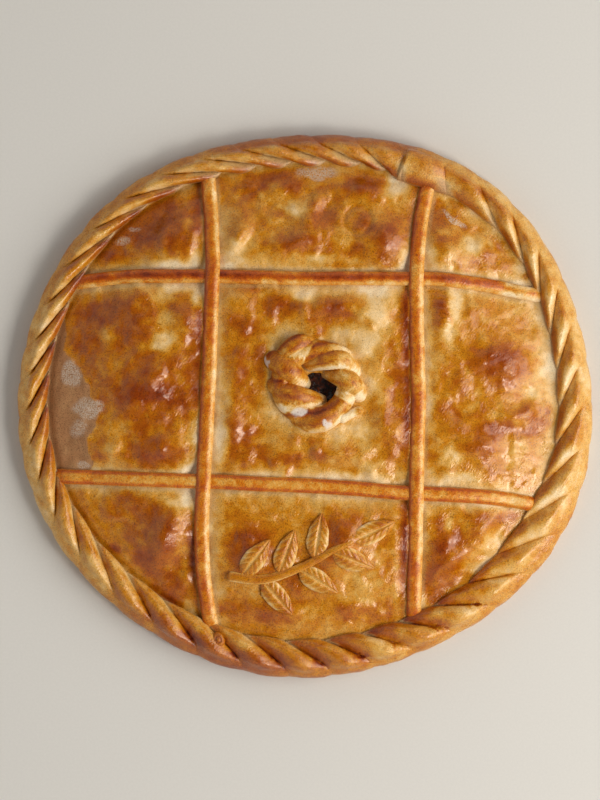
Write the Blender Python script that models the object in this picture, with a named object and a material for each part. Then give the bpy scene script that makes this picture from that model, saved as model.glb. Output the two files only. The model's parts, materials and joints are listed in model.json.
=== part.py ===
"""Galician empanada: a large flat savoury pie with a rope-twisted rim.

The pie is modelled the way it is put together. A sheet of dough carries the filling, a second
sheet lies over it, and the edge of the lower one is folded over the lid pleat by pleat into a
twisted rope. Four rolled strips cross the lid, a twisted ring of dough stands round the steam
vent, and a sprig of dough leaves lies on the front panel.

Axes: +Z up, +Y away from the diner, +X to the right. The origin is at the centre of the
underside. Lengths in this file are millimetres and become metres when a mesh is made.
"""

import math

import bmesh
import bpy
from mathutils import Matrix, Vector

# ---------------------------------------------------------------- driving dimensions, mm
MM = 0.001
GAP = 0.3                     # between pieces that touch

MEAN_RADIUS = 166.9           # of the pie, seen from above
OUTLINE_WAVES = (             # waves round the outline: how many, mm, degrees of the first crest
    (1, 2.25, 60.0), (2, 4.8, 4.0), (3, 1.0, 47.0), (4, 1.2, -36.0), (5, 1.4, -21.0))

PLEATS = 40                   # folds of the rope rim
PLEAT_START = -6.0            # degrees, where the count begins
PITCH_WAVES = (               # hand-made unevenness of the pitch: how many, degrees, first crest
    (1, 3.8, 36.0), (2, 1.55, -37.0), (3, 0.9, 37.0), (4, 1.23, -11.0))
ROPE_WIDTH = 18.0             # mean width of the rope, seen from above
ROPE_SWELL = 3.6              # how much wider it is at the front, narrower at the back
ROPE_SWELL_AT = 285.0         # degrees
ROPE_HEIGHT = 16.5            # of the groove between two pleats, at the top of the rope
BELLY_HEIGHT = 6.5            # of the widest place of the outer wall
FOOT_INSET = 2.6              # how far the foot stands in from the widest place
PLEAT_SLANT = 1.1             # pleats that a fold runs clockwise, from the outer edge to the tip
PLEAT_SLANT_POWER = 1.4
PLEAT_MIDDLE = 0.3            # slant at the place where the pitch is counted
PLEAT_LEAN = 0.55             # below 1 the crest leans to the clockwise side of its fold
PLEAT_DEEP = 4.0              # crest over groove, at the inner side
PLEAT_SHALLOW = 0.9           # crest over groove, at the outer wall
TIP_THICKNESS = 1.6           # of the rope's inner edge, in a groove
SEAM_PLEAT = 7.5              # the fold that closes the rope, broad and flat
SEAM_SPREAD = 0.75            # pleats to each side
SEAM_STRAIGHT = 0.4           # how much less it slants
SEAM_REACH = 4.5              # how much further in it lies
SEAM_CREST = 0.8              # its level height, as a share of a pleat's crest
SEAM_LEVEL = 0.7              # how near to level it lies

EDGE_INSET = 8.0              # the lid and the filling end this far in from the outline
LID_SHORT = 1.0               # the lid ends this much further in than the filling
BASE_THICKNESS = 4.0
LID_EDGE_HEIGHT = 10.5
LID_HEIGHT = 27.0
LID_SHOULDER = 40.0           # how far in the lid takes to rise
LID_SHOULDER_POWER = 1.8
LID_THICKNESS = 6.0           # of the baked lid between the strips' valleys
LID_THIN = 2.2                # how much thinner the lid is at its edge
LID_THIN_REACH = 12.0
VALLEY_DEPTH = 2.4            # the lid sinks under each strip
VALLEY_WIDTH = 9.0
VALLEY_MOST = 1.2             # valleys that meet sink no deeper than this share
BLISTER_FALL = 1.6            # how steeply a blister falls off
RELIEF_CLEAR = 8.0            # the lid stays smooth under the tips of the rope
RELIEF_FADE = 12.0
VENT_CENTRE = (9.5, 11.0)
VENT_SIZE = (11.5, 7.5)       # half length and half width of the cut
VENT_TURN = -38.0             # degrees
VENT_CUT = 40.0               # length of the cutter, through the lid

# Blisters of the lid, named by panel: centre x, y, half length, half width, turn, height.
BLISTERS = (
    (-77.0, 102.0, 20, 17, 30, 3.2),      # back left
    (-101.0, 66.0, 15, 12, 10, 2.0), (-99.0, 50.0, 17, 13, -20, 2.4),        # left
    (-72.0, 50.0, 12, 14, 0, 2.0), (-98.0, 9.0, 24, 17, 10, 2.2),
    (-84.0, -24.0, 17, 9, 0, 1.8), (-115.0, -25.0, 13, 9, 0, 1.8),
    (-86.0, 24.0, 15, 11, 20, 1.6),
    (-12.0, 134.0, 13, 9, 0, 1.8), (37.0, 131.0, 22, 11, -8, 2.6),           # back
    (-6.0, 97.0, 20, 8, 5, 2.4), (46.0, 100.0, 15, 13, -50, 2.8),
    (5.0, 107.0, 13, 10, 0, 1.6), (-37.0, 101.0, 12, 13, -30, 1.8),
    (-42.0, 61.0, 14, 10, 0, 1.8), (12.0, 59.0, 24, 8, 4, 2.2),              # middle
    (38.0, 54.0, 15, 11, 0, 2.2), (-41.0, 14.0, 11, 15, 0, 1.8),
    (-43.0, -9.0, 8, 15, 0, 1.8), (46.0, 0.0, 10, 12, 0, 1.8),
    (3.0, -25.0, 22, 7, 0, 1.6), (47.0, -14.0, 10, 11, 0, 2.0),
    (44.0, 30.0, 11, 10, 0, 1.6), (22.0, -28.0, 16, 6, 0, 1.4),
    (81.0, 55.0, 8, 16, 0, 2.4), (119.0, 27.0, 27, 15, -5, 3.0),             # right
    (105.0, -23.0, 16, 8, 0, 1.8), (131.0, -4.0, 17, 8, 10, 2.4),
    (82.0, 93.0, 14, 15, 40, 2.2), (112.0, 92.0, 13, 9, -35, 2.0),           # back right
    (-84.0, -78.0, 14, 17, 0, 3.0), (-93.0, -103.0, 10, 13, 50, 1.6),        # front left
    (-31.0, -87.0, 14, 17, 0, 2.2), (22.0, -80.0, 16, 19, 0, 3.2),           # front
    (-15.0, -126.0, 20, 10, -5, 2.2), (28.0, -122.0, 15, 9, 10, 1.8),
    (84.0, -91.0, 13, 17, -30, 2.6), (103.0, -70.0, 22, 11, 40, 2.0),        # front right
)

STRIP_WIDTH = 8.8
STRIP_HEIGHT = 5.2
STRIP_SUNK = 0.7              # a strip beds this deep into the lid
STRIP_HOP = 2.6               # an upper strip rises over a lower one
HOP_LENGTH = 9.0
STRIP_STEP = 17.0             # between the sections of a strip
STRIPS = {                    # where each strip runs, x and y from end to end
    "strip_left": ((-57.8, 141.0), (-54.8, 96.0), (-56.0, 48.0), (-57.2, 4.0), (-60.6, -58.0),
                   (-60.2, -96.0), (-55.0, -137.0)),
    "strip_right": ((73.0, 133.0), (67.2, 100.0), (65.6, 55.0), (66.8, 3.0), (65.4, -64.0),
                    (64.4, -128.0)),
    "strip_back": ((-141.0, 72.4), (-100.0, 77.0), (-40.0, 76.4), (25.0, 75.4), (76.0, 75.6),
                   (108.0, 71.4), (141.0, 65.4)),
    "strip_front": ((-152.0, -41.3), (-110.0, -42.6), (-50.0, -44.8), (10.0, -47.2),
                    (70.0, -51.4), (106.0, -53.4), (136.0, -57.4)),
}
CROSSWISE = ("strip_back", "strip_front")

# Strands of the vent ring: the line of each from its outer end over the top to its inner end,
# x and y; its half width; and how high its crest stands over the lid.
RING_STRANDS = (
    (((8.4, 35.4), (-3.8, 37.0), (-11.8, 30.1), (-7.0, 25.9)), 5.8, 9.6),
    (((-22.0, 30.1), (-14.4, 24.9), (-6.0, 18.4), (1.4, 10.6)), 7.0, 11.2),
    (((-21.6, 17.0), (-14.4, 10.6), (-3.8, 6.3), (12.3, 2.9)), 6.6, 10.4),
    (((-8.6, -2.2), (-1.7, -7.5), (9.4, -8.5), (27.5, 2.7)), 6.8, 10.6),
    (((32.8, 2.7), (27.9, 11.0), (20.1, 16.9), (9.5, 20.1)), 6.8, 10.8),
    (((31.7, 17.5), (22.7, 26.4), (11.1, 26.4), (-1.7, 22.7)), 6.4, 10.6),
    (((28.5, 28.0), (17.4, 32.3), (4.7, 32.3), (-2.7, 29.0)), 5.2, 8.0),
)
STRAND_STEP = 7.5
STRAND_ROUND = 1.8            # height of a strand's section, in half widths
STRAND_END = 0.03             # share of the arch that a strand lacks at each end
STRAND_THIN = 0.5             # how much thinner a strand is where it dives
STRAND_FULL = 0.6             # power below 1: it stays full until near its ends
CORE_CENTRE = (5.6, 13.6)     # the plain roll that the strands are wound on
CORE_RADIUS = 19.6
CORE_THICKNESS = 6.4          # half of it
CORE_HEIGHT = 1.5             # of its middle, over the lid
RING_TAIL = ((34.0, -3.2), (28.0, -4.0), (20.0, -9.0))
TAIL_WIDTH = 6.4
TAIL_TAPER = (0.6, 0.9, 1.0)
TAIL_HEIGHT = 2.4             # of its middle, over the lid

STEM = ((-46.0, -100.0), (-25.0, -102.0), (-3.0, -95.0), (16.0, -85.0), (29.0, -79.0))
STEM_WIDTH = 6.4
STEM_HEIGHT = 4.4
STEM_STEP = 12.0
STEM_TAPER = 0.45             # how much thinner the stem is at its tip
LEAF_LENGTH = 27.0
LEAF_WIDTH = 12.6
LEAF_HEIGHT = 4.4
LEAF_GROOVE = 1.1             # depth of the midrib
LEAF_OVERLAP = 0.5            # a leaf's foot starts this far inside the stem's edge
LEAVES = (                    # share of the way along the stem, and degrees off its direction
    (0.1, 60.0), (0.27, -46.0), (0.4, 56.0), (0.55, -52.0), (0.69, 54.0), (0.84, -50.0),
    (1.0, 0.0))
NUB = (-51.0, -137.5)         # the rope's tucked end, a small knob on the rim
NUB_SIZE = (3.4, 4.6, 3.2)    # half sizes
NUB_HEIGHT = 18.6             # of its middle
NUB_TURN = 25.0               # degrees

LID_CELLS = 32                # across the lid
FILLING_CELLS = 12
PLEAT_COLUMNS = (0.0, 0.12, 0.32, 0.58, 0.83)      # sections across one pleat
ROPE_ROWS = (-0.25, -0.1, 0.1, 0.28, 0.45, 0.62, 0.78, 0.9, 1.0)

# ---------------------------------------------------------------- finishes
BAKED = {"colour": (0.44, 0.19, 0.045), "roughness": 0.38}
RIM = {"colour": (0.50, 0.25, 0.075), "roughness": 0.42}
STRIP = {"colour": (0.53, 0.27, 0.085), "roughness": 0.42}
RING = {"colour": (0.55, 0.29, 0.10), "roughness": 0.42}
SPRIG = {"colour": (0.50, 0.24, 0.07), "roughness": 0.42}
STEW = {"colour": (0.06, 0.022, 0.008), "roughness": 0.3}


# ---------------------------------------------------------------- the rules of the shape
def waves(degrees, table):
    """Sum of the waves in a table, at an angle round the pie."""
    return sum(size * math.cos(math.radians(count * (degrees - crest)))
               for count, size, crest in table)


def outline(degrees):
    """Radius of the pie at an angle, at the belly of its wall."""
    return MEAN_RADIUS + waves(degrees, OUTLINE_WAVES)


def smooth(x):
    """0 below 0, 1 above 1, and a soft step between."""
    x = min(max(x, 0.0), 1.0)
    return x * x * (3.0 - 2.0 * x)


def rope_width(degrees):
    """Width of the rope at an angle, from the outline to the grooves' inner ends."""
    return ROPE_WIDTH + ROPE_SWELL * math.cos(math.radians(degrees - ROPE_SWELL_AT))


def lid_shell(inset):
    """Height of the plain lid at a distance in from the outline."""
    rise = max(inset - EDGE_INSET, 0.0) / LID_SHOULDER
    drop = math.exp(-rise ** LID_SHOULDER_POWER)
    return LID_HEIGHT - (LID_HEIGHT - LID_EDGE_HEIGHT) * drop


def distance_to_line(x, y, points):
    """Distance from a point to a line of straight runs."""
    here = Vector((x, y))
    nearest = math.inf
    for start, end in zip(points, points[1:]):
        run = Vector(end) - Vector(start)
        share = min(max((here - Vector(start)).dot(run) / run.length_squared, 0.0), 1.0)
        nearest = min(nearest, (here - Vector(start) - run * share).length)
    return nearest


def blister(x, y, centre_x, centre_y, length, width, turn, height):
    """Height that one blister adds at a place."""
    cos, sin = math.cos(math.radians(turn)), math.sin(math.radians(turn))
    along = ((x - centre_x) * cos + (y - centre_y) * sin) / length
    across = ((y - centre_y) * cos - (x - centre_x) * sin) / width
    return height * math.exp(-BLISTER_FALL * (along * along + across * across))


def lid_top(x, y):
    """Height of the lid's upper face: the shell, its valleys under the strips, its blisters."""
    degrees = math.degrees(math.atan2(y, x))
    inset = outline(degrees) - math.hypot(x, y)
    valley = sum(math.exp(-(distance_to_line(x, y, line) / VALLEY_WIDTH) ** 2)
                 for line in STRIPS.values())
    relief = sum(blister(x, y, *one) for one in BLISTERS) - VALLEY_DEPTH * min(valley, VALLEY_MOST)
    fade = smooth((inset - rope_width(degrees) - RELIEF_CLEAR) / RELIEF_FADE)
    return lid_shell(inset) + relief * fade


def pleat_angle(count):
    """Degrees of a pleat's groove, for its number or for any place between two grooves."""
    turn = 360.0 / PLEATS * count
    return PLEAT_START + turn + waves(turn, PITCH_WAVES)


def seam(count):
    """1 in the middle of the fold that closes the rope, 0 away from it."""
    away = (count - SEAM_PLEAT + PLEATS / 2) % PLEATS - PLEATS / 2
    return math.exp(-(away / SEAM_SPREAD) ** 2)


def rope_point(count, row, swollen=0.0):
    """A point of the rope: radius, degrees and height.

    The count runs round the rim in pleats. The row runs over the rope: -0.25 at the foot,
    0 at the belly, 0.5 on top and 1 at the inner tip. Swollen moves the skin outwards.
    """
    quarter = math.pi / 2 * abs(row) / (0.25 if row < 0 else 0.5)
    closing = seam(count)
    part = count % 1.0
    lean = math.sin(math.pi * part ** PLEAT_LEAN)
    crest = lean + (SEAM_CREST - lean) * SEAM_LEVEL * closing
    if row <= 0:
        across, out, up = 0.0, math.cos(quarter), 0.0
    elif row <= 0.5:
        across, out, up = 0.5 - 0.5 * math.cos(quarter), math.cos(quarter), math.sin(quarter)
    else:
        over = quarter - math.pi / 2
        across, out, up = 0.5 + 0.5 * math.sin(over), -math.sin(over), math.cos(over)
    slant = PLEAT_SLANT * across ** PLEAT_SLANT_POWER - PLEAT_MIDDLE
    degrees = pleat_angle(count - slant * (1.0 - SEAM_STRAIGHT * closing))
    width = rope_width(degrees)
    depth = PLEAT_SHALLOW + (PLEAT_DEEP - PLEAT_SHALLOW) * smooth((across - 0.1) / 0.5)
    push = depth * crest + swollen
    reach = SEAM_REACH * closing * smooth((across - 0.5) / 0.5)
    inset = PLEAT_SHALLOW + across * width - out * push + reach
    if row <= 0:
        height = BELLY_HEIGHT * (1.0 - math.sin(quarter))
        inset += FOOT_INSET * (1.0 - math.cos(quarter))
    elif row <= 0.5:
        height = BELLY_HEIGHT + (ROPE_HEIGHT - BELLY_HEIGHT) * math.sin(quarter)
    else:
        tip = lid_shell(inset) + GAP + TIP_THICKNESS
        height = tip + (ROPE_HEIGHT - tip) * up
    return outline(degrees) - inset, degrees, height + up * push


def polar(radius, degrees, height):
    """The point at a radius, an angle and a height."""
    angle = math.radians(degrees)
    return radius * math.cos(angle), radius * math.sin(angle), height


def smooth_line(points, step):
    """Points about a step apart on a smooth curve through the given ones."""
    ends = [Vector(p) for p in points]
    ends = [2 * ends[0] - ends[1], *ends, 2 * ends[-1] - ends[-2]]
    line = []
    for before, start, end, after in zip(ends, ends[1:], ends[2:], ends[3:]):
        pieces = max(1, round((end - start).length / step))
        for k in range(pieces):
            t = k / pieces
            line.append(0.5 * (2 * start + (end - before) * t
                               + (2 * before - 5 * start + 4 * end - after) * t ** 2
                               + (3 * start - before - 3 * end + after) * t ** 3))
    return [*line, ends[-2]]


# ---------------------------------------------------------------- Blender helpers
def collection(name, hidden=False):
    """A new collection in the scene; a hidden one holds cutters."""
    made = bpy.data.collections.new(name)
    made.hide_render = hidden
    bpy.context.scene.collection.children.link(made)
    return made


def finish(name, colour, roughness):
    """A plain dough material."""
    material = bpy.data.materials.new(name)
    material.use_nodes = True
    shader = material.node_tree.nodes["Principled BSDF"]
    shader.inputs["Base Color"].default_value = (*colour, 1.0)
    shader.inputs["Roughness"].default_value = roughness
    shader.inputs["Metallic"].default_value = 0.0
    material.diffuse_color = (*colour, 1.0)
    return material


def add_object(name, mesh, home, look=None):
    """An object round a mesh, in its collection; without a look it is a cutter."""
    made = bpy.data.objects.new(name, mesh)
    home.objects.link(made)
    if look is None:
        made.hide_render = True
        made.display_type = "WIRE"
    else:
        mesh.materials.append(finish(name, **look))
        mesh.shade_smooth()
        mesh.set_sharp_from_angle(angle=math.radians(50))
    return made


def mesh_from(bm, name):
    """A mesh in metres from a bmesh in millimetres, in triangles that point out.

    Every quad is split the same way, so that a piece and its raised copy have like faces.
    """
    quads = [face for face in bm.faces if len(face.verts) == 4]
    bmesh.ops.triangulate(bm, faces=quads, quad_method="FIXED")
    bmesh.ops.scale(bm, vec=(MM, MM, MM), verts=bm.verts)
    bmesh.ops.recalc_face_normals(bm, faces=bm.faces)
    mesh = bpy.data.meshes.new(name)
    bm.to_mesh(mesh)
    bm.free()
    return mesh


def cut(piece, cutter, solver="EXACT"):
    """Take the cutter's space out of the piece."""
    modifier = piece.modifiers.new(f"minus {cutter.name}", "BOOLEAN")
    modifier.operation = "DIFFERENCE"
    modifier.object = cutter
    modifier.solver = solver


def connected(start):
    """All vertices of a bmesh that edges join to the first one."""
    found, waiting = {start}, [start]
    while waiting:
        vert = waiting.pop()
        for edge in vert.link_edges:
            other = edge.other_vert(vert)
            if other not in found:
                found.add(other)
                waiting.append(other)
    return found


def apply_modifiers(piece):
    """Turn the piece into the mesh that its modifiers make, without the scraps a cut leaves."""
    graph = bpy.context.evaluated_depsgraph_get()
    plain = bpy.data.meshes.new_from_object(piece.evaluated_get(graph))
    piece.modifiers.clear()
    bm = bmesh.new()
    bm.from_mesh(plain)
    bodies = []
    for vert in bm.verts:
        if not any(vert in body for body in bodies):
            bodies.append(connected(vert))
    for body in sorted(bodies, key=len)[:-1]:
        bmesh.ops.delete(bm, geom=list(body), context="VERTS")
    bm.to_mesh(plain)
    bm.free()
    piece.data = plain


def disc(name, cells, inset, top, floor):
    """A round slab with the pie's outline: an even grid on top, a wall, and a flat floor.

    The inset is its distance in from the outline, and top gives the height at x and y.
    """
    bm = bmesh.new()
    bmesh.ops.create_grid(bm, x_segments=cells, y_segments=cells, size=1.0)
    for vert in bm.verts:
        x, y, _ = vert.co
        x, y = x * math.sqrt(1 - y * y / 2), y * math.sqrt(1 - x * x / 2)
        reach = outline(math.degrees(math.atan2(y, x))) - inset
        vert.co = (x * reach, y * reach, top(x * reach, y * reach))
    edge = [e for e in bm.edges if e.is_boundary]
    wall = bmesh.ops.extrude_edge_only(bm, edges=edge)["geom"]
    rim = [v for v in wall if isinstance(v, bmesh.types.BMVert)]
    for vert in rim:
        vert.co.z = floor
    bmesh.ops.contextual_create(bm, geom=[e for e in bm.edges if e.is_boundary])
    return mesh_from(bm, name)


def oval(name, width, height, sides=8):
    """A closed oval curve, the section that a strip is swept with."""
    curve = bpy.data.curves.new(name, "CURVE")
    spline = curve.splines.new("POLY")
    spline.points.add(sides - 1)
    for k, point in enumerate(spline.points):
        angle = 2 * math.pi * (k + 0.5) / sides
        x = 0.5 * width * math.cos(angle) / math.cos(math.pi / sides)
        y = 0.5 * height * math.sin(angle) / math.cos(math.pi / sides)
        point.co = (x * MM, y * MM, 0.0, 1.0)
    spline.use_cyclic_u = True
    return bpy.data.objects.new(name, curve)


def swept(name, path, width, height, taper=None):
    """The closed mesh of an oval roll of dough along a path; the taper scales each section."""
    section = oval(f"{name} section", width, height)
    curve = bpy.data.curves.new(name, "CURVE")
    curve.dimensions = "3D"
    curve.twist_mode = "Z_UP"
    curve.bevel_mode = "OBJECT"
    curve.bevel_object = section
    curve.use_fill_caps = True
    spline = curve.splines.new("POLY")
    spline.points.add(len(path) - 1)
    for k, (point, place) in enumerate(zip(spline.points, path)):
        point.co = (place[0] * MM, place[1] * MM, place[2] * MM, 1.0)
        point.radius = taper[k] if taper else 1.0
    guide = bpy.data.objects.new(name, curve)
    CUTTERS.objects.link(section)
    CUTTERS.objects.link(guide)
    graph = bpy.context.evaluated_depsgraph_get()
    mesh = bpy.data.meshes.new_from_object(guide.evaluated_get(graph))
    bpy.data.objects.remove(guide)
    bpy.data.objects.remove(section)
    bm = bmesh.new()
    bm.from_mesh(mesh)
    bmesh.ops.remove_doubles(bm, verts=bm.verts, dist=1e-5)
    bmesh.ops.recalc_face_normals(bm, faces=bm.faces)
    bm.to_mesh(mesh)
    bm.free()
    return mesh


# ---------------------------------------------------------------- the crusts and the filling
def filling_top(x, y):
    """Height of the filling, a lid's thickness under the plain shell of the lid."""
    inset = outline(math.degrees(math.atan2(y, x))) - math.hypot(x, y)
    thickness = LID_THICKNESS - LID_THIN * math.exp(-((inset - EDGE_INSET) / LID_THIN_REACH) ** 2)
    return lid_shell(inset) - thickness


def rim_and_base(name, swollen=0.0):
    """The lower crust in one loft: underside, outer wall, rope, and the tray it encloses.

    Each column of the loft follows one place of a pleat from the foot over the rope to the
    tip, so that the grooves run along edges of the mesh.
    """
    bm = bmesh.new()
    columns = []
    for pleat in range(PLEATS):
        for part in PLEAT_COLUMNS:
            count = pleat + part
            points = [rope_point(count, row, swollen) for row in ROPE_ROWS]
            radius, degrees, _ = points[-1]
            inset = outline(degrees) - radius
            edge = outline(degrees) - EDGE_INSET - swollen
            points += [
                (radius, degrees, lid_shell(inset) + GAP - swollen),
                ((radius + edge) / 2, degrees,
                 lid_shell((inset + EDGE_INSET) / 2) + GAP - swollen),
                (edge, degrees, lid_shell(EDGE_INSET) + GAP - swollen),
                (edge, degrees, BASE_THICKNESS + swollen)]
            columns.append([bm.verts.new(polar(*p)) for p in points])
    for left, right in zip(columns, columns[1:] + columns[:1]):
        for k in range(len(left) - 1):
            bm.faces.new((left[k], right[k], right[k + 1], left[k + 1]))
    bm.faces.new([column[0] for column in reversed(columns)])
    bm.faces.new([column[-1] for column in columns])
    return mesh_from(bm, name)


def build_crusts():
    """Lower crust, filling and lid. Returns the raised copies that cut what lies on them."""
    add_object("bottom_crust", rim_and_base("bottom_crust"), PIE, RIM)
    inset = EDGE_INSET + GAP
    add_object("filling", disc("filling", FILLING_CELLS, inset, filling_top,
                               BASE_THICKNESS + GAP), PIE, STEW)
    lid = add_object("lid", disc("lid", LID_CELLS, inset + LID_SHORT, lid_top, BASE_THICKNESS),
                     PIE, BAKED)
    under = add_object("lid underside", disc("lid underside", FILLING_CELLS, inset,
                                             lambda x, y: filling_top(x, y) + GAP, 0.0), CUTTERS)
    cut(lid, under)
    cut(lid, vent_cutter())
    apply_modifiers(lid)
    over_lid = add_object("over lid", disc("over lid", LID_CELLS, inset + LID_SHORT,
                                           lambda x, y: lid_top(x, y) + GAP, 0.0), CUTTERS)
    over_rim = add_object("over rim", rim_and_base("over rim", GAP), CUTTERS)
    return over_lid, over_rim


def vent_cutter():
    """The slanted oval through the lid that lets the steam out."""
    bm = bmesh.new()
    bmesh.ops.create_cone(bm, cap_ends=True, segments=20, radius1=1.0, radius2=1.0, depth=1.0)
    bmesh.ops.scale(bm, vec=(*VENT_SIZE, VENT_CUT), verts=bm.verts)
    vent = add_object("vent", mesh_from(bm, "vent"), CUTTERS)
    vent.location = (VENT_CENTRE[0] * MM, VENT_CENTRE[1] * MM, LID_HEIGHT * MM)
    vent.rotation_euler.z = math.radians(VENT_TURN)
    return vent


# ---------------------------------------------------------------- strips
def crossing(first, second):
    """Where two strips cross, nearly at right angles."""
    first = smooth_line(STRIPS[first], STRIP_STEP)
    return min(first, key=lambda p: distance_to_line(p.x, p.y, STRIPS[second]))


def strip_path(name):
    """The line of a strip's middle on the lid, with its hops over the strips it crosses."""
    others = [one for one in STRIPS if (one in CROSSWISE) != (name in CROSSWISE)]
    places = [crossing(name, one) for one in others]
    path = []
    for point in smooth_line(STRIPS[name], STRIP_STEP):
        lift = 0.5 * STRIP_HEIGHT - STRIP_SUNK
        if name not in CROSSWISE:
            lift += STRIP_HOP * max(math.exp(-((point - place).length / HOP_LENGTH) ** 2)
                                    for place in places)
        path.append((point.x, point.y, lid_top(point.x, point.y) + lift))
    return path


def build_strips(over_lid, over_rim):
    """Four rolled strips; the two that run away from the diner lie over the other two."""
    upper = []
    for name in STRIPS:
        path = strip_path(name)
        strip = add_object(name, swept(name, path, STRIP_WIDTH, STRIP_HEIGHT), PIE, STRIP)
        cut(strip, over_lid)
        cut(strip, over_rim)
        if name in CROSSWISE:
            for one in upper:
                cut(strip, one)
        else:
            wide = swept(f"over {name}", path, STRIP_WIDTH + 2 * GAP, STRIP_HEIGHT + 2 * GAP)
            upper.append(add_object(f"over {name}", wide, CUTTERS))
        apply_modifiers(strip)
    return upper


# ---------------------------------------------------------------- vent ring
def strand(name, line, half_width, height):
    """One visible turn of the twisted ring: low at both ends and high in the middle."""
    points = smooth_line(line, STRAND_STEP)
    path, taper = [], []
    for k, point in enumerate(points):
        share = STRAND_END + (1.0 - 2.0 * STRAND_END) * k / (len(points) - 1)
        arch = math.sin(math.pi * share)
        middle = LID_HEIGHT + height * arch - 0.5 * STRAND_ROUND * half_width
        path.append((point.x, point.y, middle))
        taper.append(1.0 - STRAND_THIN * (1.0 - arch ** STRAND_FULL))
    return swept(name, path, 2 * half_width, STRAND_ROUND * half_width, taper)


def core_mesh():
    """The plain ring of dough under the strands."""
    bm = bmesh.new()
    place = Matrix.Translation((CORE_RADIUS, 0.0, 0.0)) @ Matrix.Rotation(math.pi / 2, 4, "X")
    bmesh.ops.create_circle(bm, segments=8, radius=CORE_THICKNESS, matrix=place)
    bmesh.ops.spin(bm, geom=bm.verts[:] + bm.edges[:], axis=(0, 0, 1), angle=2 * math.pi, steps=22,
                   use_merge=True)
    bmesh.ops.translate(bm, vec=(*CORE_CENTRE, LID_HEIGHT + CORE_HEIGHT), verts=bm.verts)
    return mesh_from(bm, "vent_ring")


def build_ring(over_lid):
    """The ring of twisted dough round the vent, its strands pressed into one piece."""
    home = bpy.data.collections.new("strands")
    CUTTERS.children.link(home)
    for k, (line, half_width, height) in enumerate(RING_STRANDS):
        name = f"strand {k + 1}"
        add_object(name, strand(name, line, half_width, height), home)
    tail = [(*place, LID_HEIGHT + TAIL_HEIGHT) for place in RING_TAIL]
    add_object("tail", swept("tail", tail, TAIL_WIDTH, TAIL_WIDTH, TAIL_TAPER), home)
    ring = add_object("vent_ring", core_mesh(), PIE, RING)
    join = ring.modifiers.new("strands", "BOOLEAN")
    join.operation = "UNION"
    join.operand_type = "COLLECTION"
    join.collection = home
    join.solver = "MANIFOLD"
    cut(ring, over_lid, "MANIFOLD")
    apply_modifiers(ring)


# ---------------------------------------------------------------- sprig and nub
def leaf_mesh(name, x, y, degrees):
    """A pointed leaf of dough with a pressed midrib, draped on the lid where it will lie.

    It points along X, round its own middle, and its heights are those over the table.
    """
    cos, sin = math.cos(math.radians(degrees)), math.sin(math.radians(degrees))
    bm = bmesh.new()
    bmesh.ops.create_uvsphere(bm, u_segments=8, v_segments=7, radius=1.0)
    for vert in bm.verts:
        along, across, up = vert.co.z, vert.co.x, vert.co.y
        full = math.sqrt(max(1.0 - along * along, 0.0))
        shape = full ** 0.35 * (1.0 - 0.28 * along)
        groove = LEAF_GROOVE * math.exp(-(across / 0.22) ** 2) * full if up > 0 else 0.0
        along, across = 0.5 * LEAF_LENGTH * along, 0.5 * LEAF_WIDTH * across * shape
        ground = lid_top(x + along * cos - across * sin, y + along * sin + across * cos)
        lift = LEAF_HEIGHT * (0.35 + 0.5 * up * full ** 0.2) - groove
        vert.co = (along, across, ground + lift)
    return mesh_from(bm, name)


def leaf_place(line, share, turn):
    """Middle of a leaf and the degrees it points at, with its foot at the stem's edge."""
    place = share * (len(line) - 1)
    first = min(int(place), len(line) - 2)
    run = line[first + 1] - line[first]
    foot = line[first] + run * (place - first)
    degrees = math.degrees(math.atan2(run.y, run.x)) + turn
    edge = 0.5 * STEM_WIDTH * (1.0 - STEM_TAPER * share) * abs(math.sin(math.radians(turn)))
    reach = 0.5 * LEAF_LENGTH + edge - LEAF_OVERLAP
    return (foot.x + reach * math.cos(math.radians(degrees)),
            foot.y + reach * math.sin(math.radians(degrees)), degrees)


def build_sprig(over_lid):
    """A stem of dough with leaves to both sides."""
    line = smooth_line(STEM, STEM_STEP)
    path = [(p.x, p.y, lid_top(p.x, p.y) + 0.5 * STEM_HEIGHT - STRIP_SUNK) for p in line]
    taper = [1.0 - STEM_TAPER * k / (len(path) - 1) for k in range(len(path))]
    stem = add_object("sprig_stem", swept("sprig_stem", path, STEM_WIDTH, STEM_HEIGHT, taper),
                      PIE, SPRIG)
    wide = swept("over stem", path, STEM_WIDTH + 2.4 * GAP, STEM_HEIGHT + 2.4 * GAP, taper)
    over_stem = add_object("over stem", wide, CUTTERS)
    cut(stem, over_lid)
    apply_modifiers(stem)
    for k, (share, turn) in enumerate(LEAVES):
        x, y, degrees = leaf_place(line, share, turn)
        name = f"sprig_leaf_{k + 1}"
        leaf = add_object(name, leaf_mesh(name, x, y, degrees), PIE, SPRIG)
        leaf.location = (x * MM, y * MM, 0.0)
        leaf.rotation_euler.z = math.radians(degrees)
        cut(leaf, over_lid)
        cut(leaf, over_stem)


def build_nub(over_lid, over_rim, over_strip):
    """The tucked end of the rope, a small knob where the left strip meets the rim."""
    bm = bmesh.new()
    bmesh.ops.create_uvsphere(bm, u_segments=10, v_segments=6, radius=1.0)
    bmesh.ops.scale(bm, vec=NUB_SIZE, verts=bm.verts)
    nub = add_object("rope_end", mesh_from(bm, "rope_end"), PIE, RIM)
    nub.location = (NUB[0] * MM, NUB[1] * MM, NUB_HEIGHT * MM)
    nub.rotation_euler.z = math.radians(NUB_TURN)
    for cutter in (over_lid, over_rim, over_strip):
        cut(nub, cutter)


# ---------------------------------------------------------------- the pie
for old in list(bpy.data.objects):
    bpy.data.objects.remove(old)

PIE = collection("galician_empanada")
CUTTERS = collection("cutters", hidden=True)

over_lid, over_rim = build_crusts()
over_uppers = build_strips(over_lid, over_rim)
build_ring(over_lid)
build_sprig(over_lid)
build_nub(over_lid, over_rim, over_uppers[0])
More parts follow.
